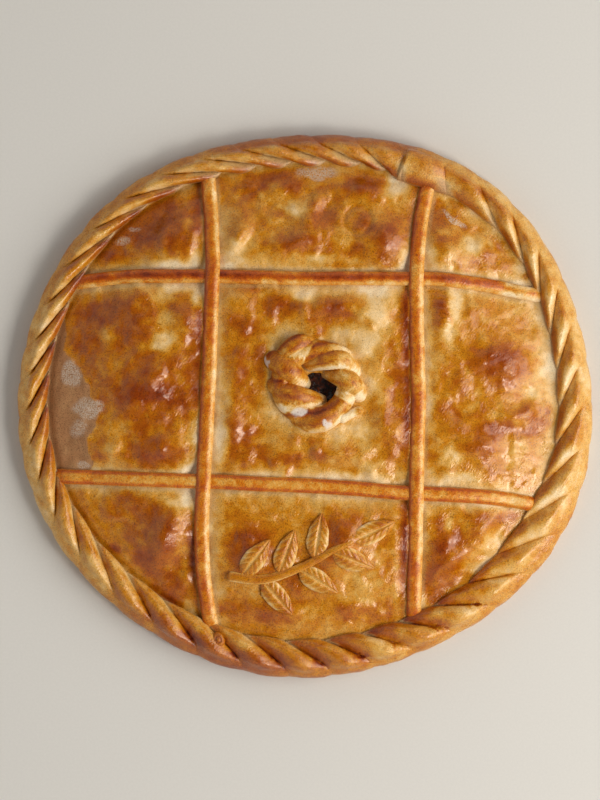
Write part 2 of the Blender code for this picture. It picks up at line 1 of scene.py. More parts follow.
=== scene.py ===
"""Galician empanada: the baked look of every piece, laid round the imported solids.

The pie is a round savoury pie with a rope-twisted rim, four rolled strips, a twisted ring round
the steam vent and a sprig of dough leaves. Each piece below repeats the shape rules of its solid
at a finer scale and adds what the oven and the egg wash leave on it.

Lengths in this file are millimetres and become metres when a mesh is made. Angles are degrees.
X points right, Y away from the diner and Z up.
"""

import itertools  # noqa: E402
import json  # noqa: E402
import logging  # noqa: E402
import math  # noqa: E402
from dataclasses import dataclass, field  # noqa: E402
from enum import Enum  # noqa: E402
from typing import Any, Optional, Sequence, Union  # noqa: E402

import bmesh  # noqa: E402
import bpy  # noqa: E402
import numpy as np  # noqa: E402
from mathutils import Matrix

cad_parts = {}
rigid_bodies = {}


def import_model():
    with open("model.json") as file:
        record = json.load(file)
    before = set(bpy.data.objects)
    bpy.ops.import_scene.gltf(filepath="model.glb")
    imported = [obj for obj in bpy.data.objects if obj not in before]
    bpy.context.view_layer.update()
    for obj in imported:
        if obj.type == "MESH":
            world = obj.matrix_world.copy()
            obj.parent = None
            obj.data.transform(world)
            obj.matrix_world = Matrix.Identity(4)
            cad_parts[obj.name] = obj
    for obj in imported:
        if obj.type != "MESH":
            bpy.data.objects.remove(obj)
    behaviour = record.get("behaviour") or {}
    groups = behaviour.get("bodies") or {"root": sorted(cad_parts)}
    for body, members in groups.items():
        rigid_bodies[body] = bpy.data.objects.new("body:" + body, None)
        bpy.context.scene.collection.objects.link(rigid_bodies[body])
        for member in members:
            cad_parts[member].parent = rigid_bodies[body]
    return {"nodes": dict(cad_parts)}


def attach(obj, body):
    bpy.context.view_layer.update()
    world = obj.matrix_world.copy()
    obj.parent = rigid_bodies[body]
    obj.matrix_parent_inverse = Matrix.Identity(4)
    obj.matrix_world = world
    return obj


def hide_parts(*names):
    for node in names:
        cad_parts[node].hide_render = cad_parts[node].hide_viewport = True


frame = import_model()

LOG = logging.getLogger("empanada")
MM = 0.001
BODY = "root"

Material = bpy.types.Material
Mesh = bpy.types.Mesh
Object = bpy.types.Object
Array = np.ndarray
Number = Union[float, Array]
Point = tuple[float, float]
Colour = tuple[float, float, float]
Wave = tuple[float, float, float]
Spot = tuple[float, float, float, float, float, float]
Marks = dict[str, Number]


# ------------------------------ rules shared by the pieces
def waves(degrees: Number, table: Sequence[Wave]) -> Number:
    """Sum of the waves in a table, each a count, a size and the degrees of its first crest."""
    return sum(size * np.cos(np.radians(count * (degrees - crest)))
               for count, size, crest in table)


def smooth(x: Number) -> Number:
    """0 below 0, 1 above 1, and a soft step between."""
    x = np.clip(x, 0.0, 1.0)
    return x * x * (3.0 - 2.0 * x)


def hump(x: Number, width: float) -> Number:
    """A bell of height 1 round zero that has fallen to 0.37 at its width."""
    return np.exp(-(x / width) ** 2)


def turned(x: Number, y: Number, degrees: float) -> tuple[Number, Number]:
    """Places turned about the origin, anticlockwise."""
    cos, sin = math.cos(math.radians(degrees)), math.sin(math.radians(degrees))
    return x * cos - y * sin, x * sin + y * cos


def bearing(x: Number, y: Number) -> Number:
    """Degrees of places, seen from the middle of the pie."""
    return np.degrees(np.arctan2(y, x))


def xyz(x: Number, y: Number, z: Number) -> Array:
    """Points from their coordinates, one row of three each."""
    return np.stack(np.broadcast_arrays(x, y, z), axis=-1)


def spot(x: Array, y: Array, centre: Point, size: Point, turn: float, power: float = 1.0) -> Array:
    """A soft oval spot of height 1.

    Args:
        x, y: places to measure it at.
        centre: middle of the oval.
        size: its half length and half width.
        turn: degrees from X to its long axis.
        power: above 1 for a flat top and a steeper edge.

    Returns:
        The spot's height at each place.
    """
    along, across = turned(x - centre[0], y - centre[1], -turn)
    return np.exp(-((along / size[0]) ** 2 + (across / size[1]) ** 2) ** power)


def strength_at(x: Array, y: Array, one: Spot, power: float) -> Array:
    """Strength of a table's spot at places; its last value is the one in its middle."""
    return one[5] * spot(x, y, one[:2], one[2:4], one[4], power)


def strongest(x: Array, y: Array, table: Sequence[Spot], power: float) -> Array:
    """Strength of the strongest of a table's spots at places."""
    return np.maximum.reduce([strength_at(x, y, one, power) for one in table])


def smooth_line(points: Sequence[Sequence[float]], step: float) -> Array:
    """Points on a smooth curve through the given ones.

    Args:
        points: the points that the curve goes through.
        step: about how far apart the new points are.

    Returns:
        The new points, one row each.
    """
    ends = np.asarray(points, float)
    ends = np.vstack([2 * ends[0] - ends[1], ends, 2 * ends[-1] - ends[-2]])
    line = []
    for before, start, end, after in zip(ends, ends[1:], ends[2:], ends[3:]):
        pieces = max(1, round(float(np.linalg.norm(end - start)) / step))
        t = (np.arange(pieces) / pieces)[:, None]
        line.append(0.5 * (2 * start + (end - before) * t
                           + (2 * before - 5 * start + 4 * end - after) * t ** 2
                           + (3 * start - before - 3 * end + after) * t ** 3))
    return np.vstack([*line, ends[-2]])


def from_line(x: Array, y: Array, line: Array) -> tuple[Array, Array]:
    """How far places are from a line of straight runs.

    Args:
        x, y: the places.
        line: the points of the line.

    Returns:
        The distance, and the distance with a sign that is positive on the right-hand side.
    """
    nearest = np.full(np.shape(x), np.inf)
    signed = np.zeros(np.shape(x))
    for start, end in zip(line, line[1:]):
        run = end - start
        share = ((x - start[0]) * run[0] + (y - start[1]) * run[1]) / (run @ run)
        share = np.clip(share, 0.0, 1.0)
        away_x, away_y = x - start[0] - run[0] * share, y - start[1] - run[1] * share
        distance = np.hypot(away_x, away_y)
        side = np.sign(away_x * run[1] - away_y * run[0])
        signed = np.where(distance < nearest, side * distance, signed)
        nearest = np.minimum(nearest, distance)
    return nearest, signed


class Unevenness:
    """Seeded smooth noise between -1 and 1, for what hands and oven leave uneven."""

    CELLS = 32

    def __init__(self, seed: int) -> None:
        """Draws the noise's table of values."""
        self.table = np.random.default_rng(seed).uniform(-1.0, 1.0, (self.CELLS,) * 3)

    def at(self, x: Number, y: Number, z: Number, size: float) -> Array:
        """The noise at places.

        Args:
            x, y, z: the places.
            size: about how wide its features are.

        Returns:
            The noise at each place.
        """
        place = np.stack(np.broadcast_arrays(x, y, z)).astype(float) / size
        cell = np.floor(place).astype(int)
        part = smooth(place - cell)
        total = np.zeros(place.shape[1:])
        for corner in itertools.product((0, 1), repeat=3):
            index = tuple((cell[k] + corner[k]) % self.CELLS for k in range(3))
            weight = np.prod([part[k] if corner[k] else 1.0 - part[k] for k in range(3)], axis=0)
            total += self.table[index] * weight
        return total

    def layered(self, x: Number, y: Number, z: Number, size: float, layers: int = 3) -> Array:
        """Noise with finer layers on it, each half the size and half as strong.

        Args:
            x, y, z: the places.
            size: about how wide the features of the coarsest layer are.
            layers: how many layers there are.

        Returns:
            The noise at each place.
        """
        total = sum(self.at(x + 11 * k, y + 5 * k, z, size / 2 ** k) / 2 ** k
                    for k in range(layers))
        return total / (2.0 - 2.0 ** (1 - layers))


@dataclass(frozen=True)
class PieForm:
    """The shape rules of the whole pie: its outline, the rope and the domed lid."""

    mean_radius: float = 166.9
    outline_waves: tuple[Wave, ...] = (
        (1, 2.25, 60.0), (2, 4.8, 4.0), (3, 1.0, 47.0), (4, 1.2, -36.0), (5, 1.4, -21.0))
    rope_mean_width: float = 18.0
    rope_swell: float = 3.6
    rope_swell_at: float = 285.0
    rope_bulge: float = 4.0       # how much further the rope's skin reaches in at one place
    rope_bulge_at: float = 332.0
    rope_bulge_spread: float = 17.0
    edge_inset: float = 8.0
    base_thickness: float = 4.0
    lid_edge_height: float = 10.5
    lid_height: float = 27.0
    lid_shoulder: float = 40.0
    lid_shoulder_power: float = 1.8
    lid_thickness: float = 6.0
    gap: float = 0.3
    valley_depth: float = 2.4
    valley_width: float = 9.0
    relief_clear: float = 8.0
    relief_fade: float = 12.0
    vent_centre: Point = (9.5, 11.0)
    vent_size: Point = (11.5, 7.5)
    vent_turn: float = -38.0
    blisters: tuple[Spot, ...] = (      # x, y, half length, half width, turn, height
        (-77, 102, 20, 17, 30, 3.2), (-101, 66, 15, 12, 10, 2.0), (-99, 50, 17, 13, -20, 2.4),
        (-72, 50, 12, 14, 0, 2.0), (-98, 9, 24, 17, 10, 2.2), (-84, -24, 17, 9, 0, 1.8),
        (-115, -25, 13, 9, 0, 1.8), (-86, 24, 15, 11, 20, 1.6), (-12, 134, 13, 9, 0, 1.8),
        (37, 131, 22, 11, -8, 2.6), (-6, 97, 20, 8, 5, 2.4), (46, 100, 15, 13, -50, 2.8),
        (5, 107, 13, 10, 0, 1.6), (-37, 101, 12, 13, -30, 1.8), (-42, 61, 14, 10, 0, 1.8),
        (12, 59, 24, 8, 4, 2.2), (38, 54, 15, 11, 0, 2.2), (-41, 14, 11, 15, 0, 1.8),
        (-43, -9, 8, 15, 0, 1.8), (46, 0, 10, 12, 0, 1.8), (3, -25, 22, 7, 0, 1.6),
        (47, -14, 10, 11, 0, 2.0), (44, 30, 11, 10, 0, 1.6), (22, -28, 16, 6, 0, 1.4),
        (81, 55, 8, 16, 0, 2.4), (119, 27, 27, 15, -5, 3.0), (105, -23, 16, 8, 0, 1.8),
        (131, -4, 17, 8, 10, 2.4), (82, 93, 14, 15, 40, 2.2), (112, 92, 13, 9, -35, 2.0),
        (-84, -78, 14, 17, 0, 3.0), (-93, -103, 10, 13, 50, 1.6), (-31, -87, 14, 17, 0, 2.2),
        (22, -80, 16, 19, 0, 3.2), (-15, -126, 20, 10, -5, 2.2), (28, -122, 15, 9, 10, 1.8),
        (84, -91, 13, 17, -30, 2.6), (103, -70, 22, 11, 40, 2.0))
    blister_fall: float = 1.6
    strips: dict[str, tuple[Point, ...]] = field(default_factory=lambda: {
        "strip_left": ((-57.8, 141.0), (-54.8, 96.0), (-56.0, 48.0), (-57.2, 4.0),
                       (-60.6, -58.0), (-60.2, -96.0), (-55.0, -137.0)),
        "strip_right": ((73.0, 133.0), (67.2, 100.0), (65.6, 55.0), (66.8, 3.0), (65.4, -64.0),
                        (64.4, -128.0)),
        "strip_back": ((-141.0, 72.4), (-100.0, 77.0), (-40.0, 76.4), (25.0, 75.4),
                       (76.0, 75.6), (108.0, 71.4), (141.0, 65.4)),
        "strip_front": ((-152.0, -41.3), (-110.0, -42.6), (-50.0, -44.8), (10.0, -47.2),
                        (70.0, -51.4), (106.0, -53.4), (136.0, -57.4))})

    def outline(self, degrees: Number) -> Number:
        """Radius of the pie at an angle, at the belly of its wall."""
        return self.mean_radius + waves(degrees, self.outline_waves)

    def rope_width(self, degrees: Number) -> Number:
        """Width of the rope at an angle, seen from above."""
        return self.rope_mean_width + self.rope_swell * np.cos(
            np.radians(degrees - self.rope_swell_at))

    def bulge(self, degrees: Number) -> Number:
        """How much further in the rope's skin reaches at an angle."""
        away = (degrees - self.rope_bulge_at + 180.0) % 360.0 - 180.0
        return self.rope_bulge * hump(away, self.rope_bulge_spread)

    def inset(self, x: Number, y: Number) -> Number:
        """Distance of a place in from the outline."""
        return self.outline(bearing(x, y)) - np.hypot(x, y)

    def past_rope(self, x: Number, y: Number) -> Number:
        """Distance of a place in from the rope's inner edge."""
        return self.inset(x, y) - self.rope_width(bearing(x, y))

    def lid_shell(self, inset: Number) -> Number:
        """Height of the plain lid at a distance in from the outline."""
        rise = np.maximum(inset - self.edge_inset, 0.0) / self.lid_shoulder
        drop = np.exp(-rise ** self.lid_shoulder_power)
        return self.lid_height - (self.lid_height - self.lid_edge_height) * drop

    def strip_distance(self, x: Array, y: Array) -> Array:
        """Distance to the nearest strip's middle line."""
        return np.minimum.reduce([from_line(x, y, np.asarray(line))[0]
                                  for line in self.strips.values()])

    def lid_top(self, x: Array, y: Array, swell: float = 1.0) -> Array:
        """Height of the lid: the shell, its valleys under the strips and its large blisters.

        Args:
            x, y: the places.
            swell: how high the blisters stand, as a share of the solid's.

        Returns:
            The heights.
        """
        valley = sum(hump(from_line(x, y, np.asarray(line))[0], self.valley_width)
                     for line in self.strips.values())
        relief = -self.valley_depth * np.minimum(valley, 1.2)
        fall = math.sqrt(self.blister_fall)
        for cx, cy, length, width, turn, height in self.blisters:
            relief += swell * height * spot(x, y, (cx, cy), (length / fall, width / fall), turn)
        clear = self.past_rope(x, y) - self.relief_clear
        return self.lid_shell(self.inset(x, y)) + relief * smooth(clear / self.relief_fade)

    def vent_reach(self, x: Array, y: Array) -> Array:
        """Distance from the vent's middle as a share of the way to its edge."""
        along, across = turned(x - self.vent_centre[0], y - self.vent_centre[1], -self.vent_turn)
        return np.hypot(along / self.vent_size[0], across / self.vent_size[1])

    def round_vent(self, turn: Array, share: Number) -> tuple[Array, Array]:
        """Places round the vent, at a share of the way from its middle to its edge."""
        x, y = turned(self.vent_size[0] * share * np.cos(turn),
                      self.vent_size[1] * share * np.sin(turn), self.vent_turn)
        return self.vent_centre[0] + x, self.vent_centre[1] + y


# ------------------------------ meshes
def quads(rows: int, columns: int, start: int = 0, closed: bool = False) -> Array:
    """Faces of a grid whose vertices are listed row by row.

    Args:
        rows: how many rows of vertices.
        columns: how many vertices in a row.
        start: index of the first vertex.
        closed: whether the last column joins the first.

    Returns:
        One row of four vertex indices for each face.
    """
    index = start + np.arange(rows * columns).reshape(rows, columns)
    if closed:
        index = np.hstack([index, index[:, :1]])
    return np.stack([index[:-1, :-1], index[:-1, 1:], index[1:, 1:], index[1:, :-1]],
                    axis=-1).reshape(-1, 4)


def with_poles(grid: Array) -> tuple[Array, list[Sequence[int]]]:
    """Points and faces of a grid that is closed round and gets a pole at each end.

    Args:
        grid: the points, row by row.

    Returns:
        The points with the two poles after them, and the faces.
    """
    rows, columns = grid.shape[:2]
    faces: list[Sequence[int]] = [*quads(rows, columns, closed=True)]
    first, last, last_row = rows * columns, rows * columns + 1, (rows - 1) * columns
    for k in range(columns):
        after = (k + 1) % columns
        faces += [(first, after, k), (last, last_row + k, last_row + after)]
    return np.vstack([grid.reshape(-1, 3), grid[0].mean(axis=0), grid[-1].mean(axis=0)]), faces


def face_outwards(mesh: Mesh, merge: bool = False) -> None:
    """Smooths a mesh and turns its faces outwards.

    Args:
        mesh: the mesh.
        merge: whether its doubles are merged first.
    """
    bm = bmesh.new()
    bm.from_mesh(mesh)
    if merge:
        bmesh.ops.remove_doubles(bm, verts=bm.verts, dist=1e-6)
    bmesh.ops.recalc_face_normals(bm, faces=bm.faces)
    bm.to_mesh(mesh)
    bm.free()
    mesh.shade_smooth()


def make_mesh(name: str, points: Array, faces: Sequence[Sequence[int]]) -> Mesh:
    """A smooth mesh whose faces point outwards.

    Args:
        name: its name.
        points: its vertices in millimetres, one row each.
        faces: the indices of each face's vertices.

    Returns:
        The mesh, in metres.
    """
    mesh = bpy.data.meshes.new(name)
    sizes = np.array([len(face) for face in faces], np.int32)
    mesh.vertices.add(len(points))
    mesh.vertices.foreach_set("co", (np.asarray(points) * MM).astype(np.float32).ravel())
    mesh.loops.add(int(sizes.sum()))
    mesh.loops.foreach_set("vertex_index", np.concatenate([np.asarray(f) for f in faces])
                           .astype(np.int32))
    mesh.polygons.add(len(sizes))
    mesh.polygons.foreach_set("loop_start", np.concatenate([[0], np.cumsum(sizes)[:-1]])
                              .astype(np.int32))
    mesh.update(calc_edges=True)
    mesh.validate()
    face_outwards(mesh)
    return mesh


def add_object(name: str, data: bpy.types.ID) -> Object:
    """An object round a mesh, curve, light or camera, linked to the scene."""
    made = bpy.data.objects.new(name, data)
    bpy.context.scene.collection.objects.link(made)
    return made


def applied(piece: Object, name: str) -> Object:
    """Turns what a piece's modifiers make into a plain mesh; the piece itself goes.

    Args:
        piece: the object with the modifiers.
        name: the name of the new object.

    Returns:
        The new object.
    """
    graph = bpy.context.evaluated_depsgraph_get()
    mesh = bpy.data.meshes.new_from_object(piece.evaluated_get(graph))
    bpy.data.objects.remove(piece)
    mesh.name = name
    return add_object(name, mesh)


def places(mesh: Mesh) -> Array:
    """The mesh's vertices in millimetres, one row each."""
    flat = np.empty(len(mesh.vertices) * 3, np.float32)
    mesh.vertices.foreach_get("co", flat)
    return flat.reshape(-1, 3).astype(float) / MM


class Mark(Enum):
    """What the oven and the baker leave on each place of the dough, from 0 to 1; the browning also
    carries painted light and shade.
    """

    BAKE = "bake"       # how dark it is: browning, with painted light and shade added in places
    WASH = "wash"       # how much egg wash it carries
    FLOUR = "flour"     # how much dry flour lies on it
    CREASE = "crease"   # how deep in a fold it lies, where dough stays pale and damp


def put_marks(mesh: Mesh, **marks: Number) -> None:
    """Stores the marks of every vertex as attributes that the crust's finish reads.

    Args:
        mesh: the mesh that carries them.
        marks: each mark's values, by its name; one that isn't given is 0.
    """
    for mark in Mark:
        values = np.clip(marks.get(mark.value, 0.0), 0.0, 1.0)
        values = np.broadcast_to(values, len(mesh.vertices)).astype(np.float32)
        mesh.attributes.new(mark.value, "FLOAT", "POINT").data.foreach_set(
            "value", np.ascontiguousarray(values))


def place_piece(piece: Object, look: Material, slot: str, *nodes: str) -> None:
    """Dresses a finished piece and ties it to the pie.

    Args:
        piece: the piece, which gets no other changes after this.
        look: its material.
        slot: its slot in the part's record; not used.
        nodes: the solids that it stands for.
    """
    piece.data.materials.clear()
    piece.data.materials.append(look)
    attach(piece, BODY)
    if nodes:
        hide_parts(*nodes)
    LOG.info("%s: %d faces", piece.name, len(piece.data.polygons))


# ------------------------------ shader building
class Value:
    """A shader socket that takes part in Python sums; each sum adds its Math node."""

    def __init__(self, maker: "NodeMaker", socket: bpy.types.NodeSocket) -> None:
        """Wraps an output socket."""
        self.maker, self.socket = maker, socket

    def _math(self, operation: str, *values: Any) -> "Value":
        """A Math node on the given values."""
        return self.maker.add("ShaderNodeMath", {"operation": operation}, list(values))

    def __add__(self, other: Any) -> "Value":
        """Sum."""
        return self._math("ADD", self, other)

    __radd__ = __add__

    def __sub__(self, other: Any) -> "Value":
        """Difference."""
        return self._math("SUBTRACT", self, other)

    def __rsub__(self, other: Any) -> "Value":
        """Difference, the other way round."""
        return self._math("SUBTRACT", other, self)

    def __mul__(self, other: Any) -> "Value":
        """Product."""
        return self._math("MULTIPLY", self, other)

    __rmul__ = __mul__

    def __pow__(self, other: Any) -> "Value":
        """Power."""
        return self._math("POWER", self, other)

    def between(self, low: float, high: float) -> "Value":
        """0 at the low value, 1 at the high one and a soft step between."""
        return self.maker.add("ShaderNodeMapRange", {"interpolation_type": "SMOOTHSTEP"},
                              {"Value": self, "From Min": low, "From Max": high})


class NodeMaker:
    """Adds nodes to the tree of a material, a world or a modifier."""

    def __init__(self, tree: bpy.types.NodeTree) -> None:
        """Empties the tree."""
        self.tree = tree
        tree.nodes.clear()

    def add(self, kind: str, settings: Optional[dict[str, Any]] = None,
            inputs: Union[dict[str, Any], list[Any], None] = None,
            output: Union[int, str, None] = 0) -> Optional[Value]:
        """Adds a node.

        Args:
            kind: the node's type.
            settings: its properties; "stops" sets a colour ramp's.
            inputs: values or links of its sockets, by name or in order.
            output: the output to return, or None at the end of a tree.

        Returns:
            The wrapped output socket.
        """
        node = self.tree.nodes.new(kind)
        for name, value in (settings or {}).items():
            if name == "stops":
                self._set_stops(node.color_ramp, value)
            else:
                setattr(node, name, value)
        pairs = inputs.items() if isinstance(inputs, dict) else enumerate(inputs or [])
        for name, value in pairs:
            if isinstance(value, Value):
                self.tree.links.new(value.socket, node.inputs[name])
            else:
                node.inputs[name].default_value = value
        return None if output is None else Value(self, node.outputs[output])

    @staticmethod
    def _set_stops(ramp: bpy.types.ColorRamp, stops: Sequence[tuple[float, Colour]]) -> None:
        """Gives a ramp its stops.

        Args:
            ramp: the ramp.
            stops: the place and the colour of each.
        """
        while len(ramp.elements) < len(stops):
            ramp.elements.new(0.5)
        for element, (place, colour) in zip(ramp.elements, stops):
            element.position = place
            element.color = (*colour, 1.0)

    def here(self) -> Value:
        """The place on the surface, in metres."""
        return self.add("ShaderNodeTexCoord", output="Object")

    def mark(self, mark: Mark) -> Value:
        """One of the marks that the piece's mesh carries."""
        return self.add("ShaderNodeAttribute", {"attribute_name": mark.value}, output="Fac")

    def noise(self, size: float, detail: float = 2.0, rough: float = 0.5, warp: float = 0.0,
              stretch: tuple[float, float, float] = (1.0, 1.0, 1.0), turn: float = 0.0) -> Value:
        """Noise from 0 to 1.

        Args:
            size: size of its features in millimetres.
            detail: how many finer layers it has.
            rough: strength of each finer layer.
            warp: how much it is distorted.
            stretch: how far its features are drawn out along each axis.
            turn: degrees about Z that these axes are turned by.

        Returns:
            The noise.
        """
        place = self.add("ShaderNodeMapping", {"vector_type": "TEXTURE"}, {
            "Vector": self.here(), "Scale": stretch, "Rotation": (0.0, 0.0, math.radians(turn))})
        return self.add("ShaderNodeTexNoise", {"noise_dimensions": "3D"},
                        {"Vector": place, "Scale": 1.0 / (size * MM), "Detail": detail,
                         "Roughness": rough, "Distortion": warp})

    def pits(self, size: float) -> Value:
        """Distance to scattered points, 0 at each, for pores and bubbles."""
        return self.add("ShaderNodeTexVoronoi", {"feature": "F1"},
                        {"Vector": self.here(), "Scale": 1.0 / (size * MM)}, "Distance")

    def blend(self, share: Any, first: Any, second: Any, mode: str = "MIX") -> Value:
        """A mix of two colours.

        Args:
            share: how much of the second there is, from 0 to 1.
            first, second: the colours.
            mode: how the second acts on the first.

        Returns:
            The mixed colour.
        """
        first, second = (one if isinstance(one, Value) else (*one, 1.0) for one in (first, second))
        node = self.tree.nodes.new("ShaderNodeMix")
        node.data_type, node.blend_type = "RGBA", mode
        colour_sockets = [s for s in node.inputs if s.type == "RGBA"]
        for socket, value in zip((node.inputs[0], *colour_sockets), (share, first, second)):
            if isinstance(value, Value):
                self.tree.links.new(value.socket, socket)
            else:
                socket.default_value = value
        return Value(self, next(s for s in node.outputs if s.type == "RGBA"))

    def bump(self, height: Value, depth: float, under: Optional[Value] = None) -> Value:
        """A normal bent by a height from 0 to 1, of the given depth in millimetres.

        Args:
            height: the height.
            depth: how deep it reaches.
            under: a normal that it bends.

        Returns:
            The bent normal.
        """
        inputs: dict[str, Any] = {"Height": height, "Strength": 1.0, "Distance": depth * MM}
        if under is not None:
            inputs["Normal"] = under
        return self.add("ShaderNodeBump", {}, inputs)

    def surface(self, **inputs: Any) -> None:
        """Ends the tree in a Principled shader, whose sockets are named with underscores."""
        shader = self.add("ShaderNodeBsdfPrincipled", {},
                          {name.replace("_", " "): value for name, value in inputs.items()})
        self.add("ShaderNodeOutputMaterial", {}, {"Surface": shader}, output=None)


def new_material(name: str) -> tuple[Material, NodeMaker]:
    """An empty material and the maker of its nodes."""
    material = bpy.data.materials.new(name)
    material.use_nodes = True
    return material, NodeMaker(material.node_tree)


def screen(red: float, green: float, blue: float) -> Colour:
    """A colour in linear light.

    Args:
        red, green, blue: its screen values from 0 to 255.

    Returns:
        The colour.
    """
    def linear(value: float) -> float:
        """One channel in linear light."""
        value /= 255.0
        return value / 12.92 if value <= 0.04045 else ((value + 0.055) / 1.055) ** 2.4
    return linear(red), linear(green), linear(blue)


# ------------------------------ finishes
@dataclass(frozen=True)
class CrustFinish:
    """Egg-washed bread dough, from pale in the folds to nearly burnt on the blisters."""

    name: str
    damp: Colour = screen(198, 167, 114)
    dull: Colour = screen(166, 120, 84)
    stops: tuple[tuple[float, Colour], ...] = (
        (0.00, screen(248, 222, 176)), (0.14, screen(238, 200, 140)),
        (0.30, screen(222, 168, 80)), (0.44, screen(204, 130, 20)),
        (0.60, screen(178, 94, 6)), (0.80, screen(148, 62, 6)), (1.00, screen(106, 28, 5)))
    flour: Colour = screen(204, 184, 162)
    floury: float = 0.40          # lower for flour that lies thicker
    speck: Colour = (0.38, 0.34, 0.30)     # what a dark speck leaves of the light
    mottle: float = 0.17          # how much the browning wavers over a few millimetres
    speckle: float = 0.10         # how much it wavers over a millimetre
    crinkle: float = 0.26         # depth of the wrinkles in the glaze, mm
    crinkle_size: float = 3.0
    glossy: float = 0.19          # roughness with egg wash
    shine: float = 0.59           # strength of what it mirrors
    tint: tuple[float, float, float, float] = (1.0, 0.86, 0.72, 1.0)   # warmth of the glaze
    dry: float = 0.66             # roughness without

    def build(self) -> Material:
        """Makes the material from the marks on the mesh and noise in the object's space."""
        material, make = new_material(self.name)
        bake, wash = make.mark(Mark.BAKE), make.mark(Mark.WASH)
        flour, crease = make.mark(Mark.FLOUR), make.mark(Mark.CREASE)
        fine = make.noise(0.9, 2.0, 0.6)
        patchy = make.noise(5.6, 3.0, 0.52, 0.5)
        level = bake + (patchy - 0.5) * (2 * self.mottle) + (fine - 0.5) * (2 * self.speckle)
        colour = make.add("ShaderNodeValToRGB", {"stops": self.stops}, {"Fac": level})
        colour = make.blend(crease.between(0.15, 0.95) * 0.75, colour, self.damp)
        colour = make.blend((1.0 - wash).between(0.6, 0.95) * 0.8, colour, self.dull)
        pores = make.pits(3.1).between(0.16, 0.05) * make.noise(9.0).between(0.52, 0.66)
        colour = make.blend(pores * bake.between(0.25, 0.6) * 0.6, colour, screen(88, 38, 12))
        toasted = make.noise(0.8, 2.0, 0.5).between(0.58, 0.70) * bake.between(0.2, 0.5)
        colour = make.blend(toasted * 0.22, colour, screen(134, 62, 12))
        specks = make.noise(0.62, 1.0, 0.5).between(0.50, 0.68)
        specks *= 0.42 + bake.between(0.2, 0.5) * 0.38
        colour = make.blend(specks, colour, self.speck, "MULTIPLY")
        pricks = make.pits(2.3).between(0.26, 0.10) * make.noise(4.0, 1.0).between(0.50, 0.60)
        colour = make.blend(pricks * 0.45, colour, self.speck, "MULTIPLY")
        grains = make.noise(0.6, 1.0, 0.6).between(self.floury, self.floury + 0.16)
        powder = flour.between(0.15, 0.6) * grains * 0.8
        colour = make.blend(powder, colour, self.flour)
        gloss = wash * (1.0 - powder) * make.noise(5.0, 2.0).between(0.15, 0.5)
        rough = self.dry - (self.dry - self.glossy) * gloss
        wrinkles = make.noise(self.crinkle_size, 2.0, 0.5, 0.4)
        combed = make.noise(0.85, 1.0, 0.5, 0.4, (3.4, 1.0, 1.0), 50.0)
        tight = make.noise(14.0, 1.0).between(0.36, 0.56)
        normal = make.bump(wrinkles, 0.5 * self.crinkle)
        normal = make.bump(combed * tight, self.crinkle, normal)
        normal = make.bump(make.noise(0.7, 1.0, 0.6), 0.06, normal)
        normal = make.bump(powder, 0.12, normal)
        make.surface(Base_Color=colour, Roughness=rough, Normal=normal,
                     Specular_IOR_Level=self.shine, Specular_Tint=self.tint)
        return material


@dataclass(frozen=True)
class StewFinish:
    """Dark moist filling with glints of oil, as it shows down the vent."""

    name: str = "stew"
    deep: Colour = screen(38, 20, 10)
    warm: Colour = screen(104, 46, 16)

    def build(self) -> Material:
        """Makes the material."""
        material, make = new_material(self.name)
        lumps = make.noise(3.4, 3.0, 0.6, 0.5)
        colour = make.blend(lumps.between(0.42, 0.68), self.deep, self.warm)
        normal = make.bump(make.noise(1.6, 3.0, 0.6), 0.5)
        make.surface(Base_Color=colour, Roughness=0.16, Normal=normal)
        return material


@dataclass(frozen=True)
class FloorFinish:
    """The plain pale floor that the pie stands on."""

    name: str = "floor"
    tone: Colour = screen(217, 212, 202)

    def build(self) -> Material:
        """Makes the material."""
        material, make = new_material(self.name)
        grain = make.noise(1.4, 2.0, 0.6)
        colour = make.blend(grain.between(0.2, 0.8) * 0.35, self.tone,
                            tuple(0.9 * c for c in self.tone))
        make.surface(Base_Color=colour, Roughness=0.9, Specular_IOR_Level=0.1)
        return material


STRIP_BROWNING = (            # the strips are redder than the lid
    (0.00, screen(250, 224, 176)), (0.14, screen(241, 201, 136)), (0.30, screen(228, 164, 68)),
    (0.44, screen(212, 122, 10)), (0.60, screen(190, 86, 3)), (0.80, screen(154, 58, 4)),
    (1.00, screen(108, 28, 4)))


# ------------------------------ rope rim and lower crust
@dataclass(frozen=True)
class RimTone:
    """What the oven made of the rope at an angle: browning in four bands, and its creases; the tip
    band and the crease lines also carry painted shade.
    """

    degrees: float
    outer: float
    middle: float
    inner: float
    # tip: browning at the rope's inner edge, darkened partly as painted shade of the gaps between
    # folds and lid
    tip: float
    line: float                   # how deep and dark the thin line in a crease is; its dark colour is painted shade
    hollow: float                 # how wide the damp hollows between the folds are
    lean: float                   # below 1, a fold rises steeply from its crease


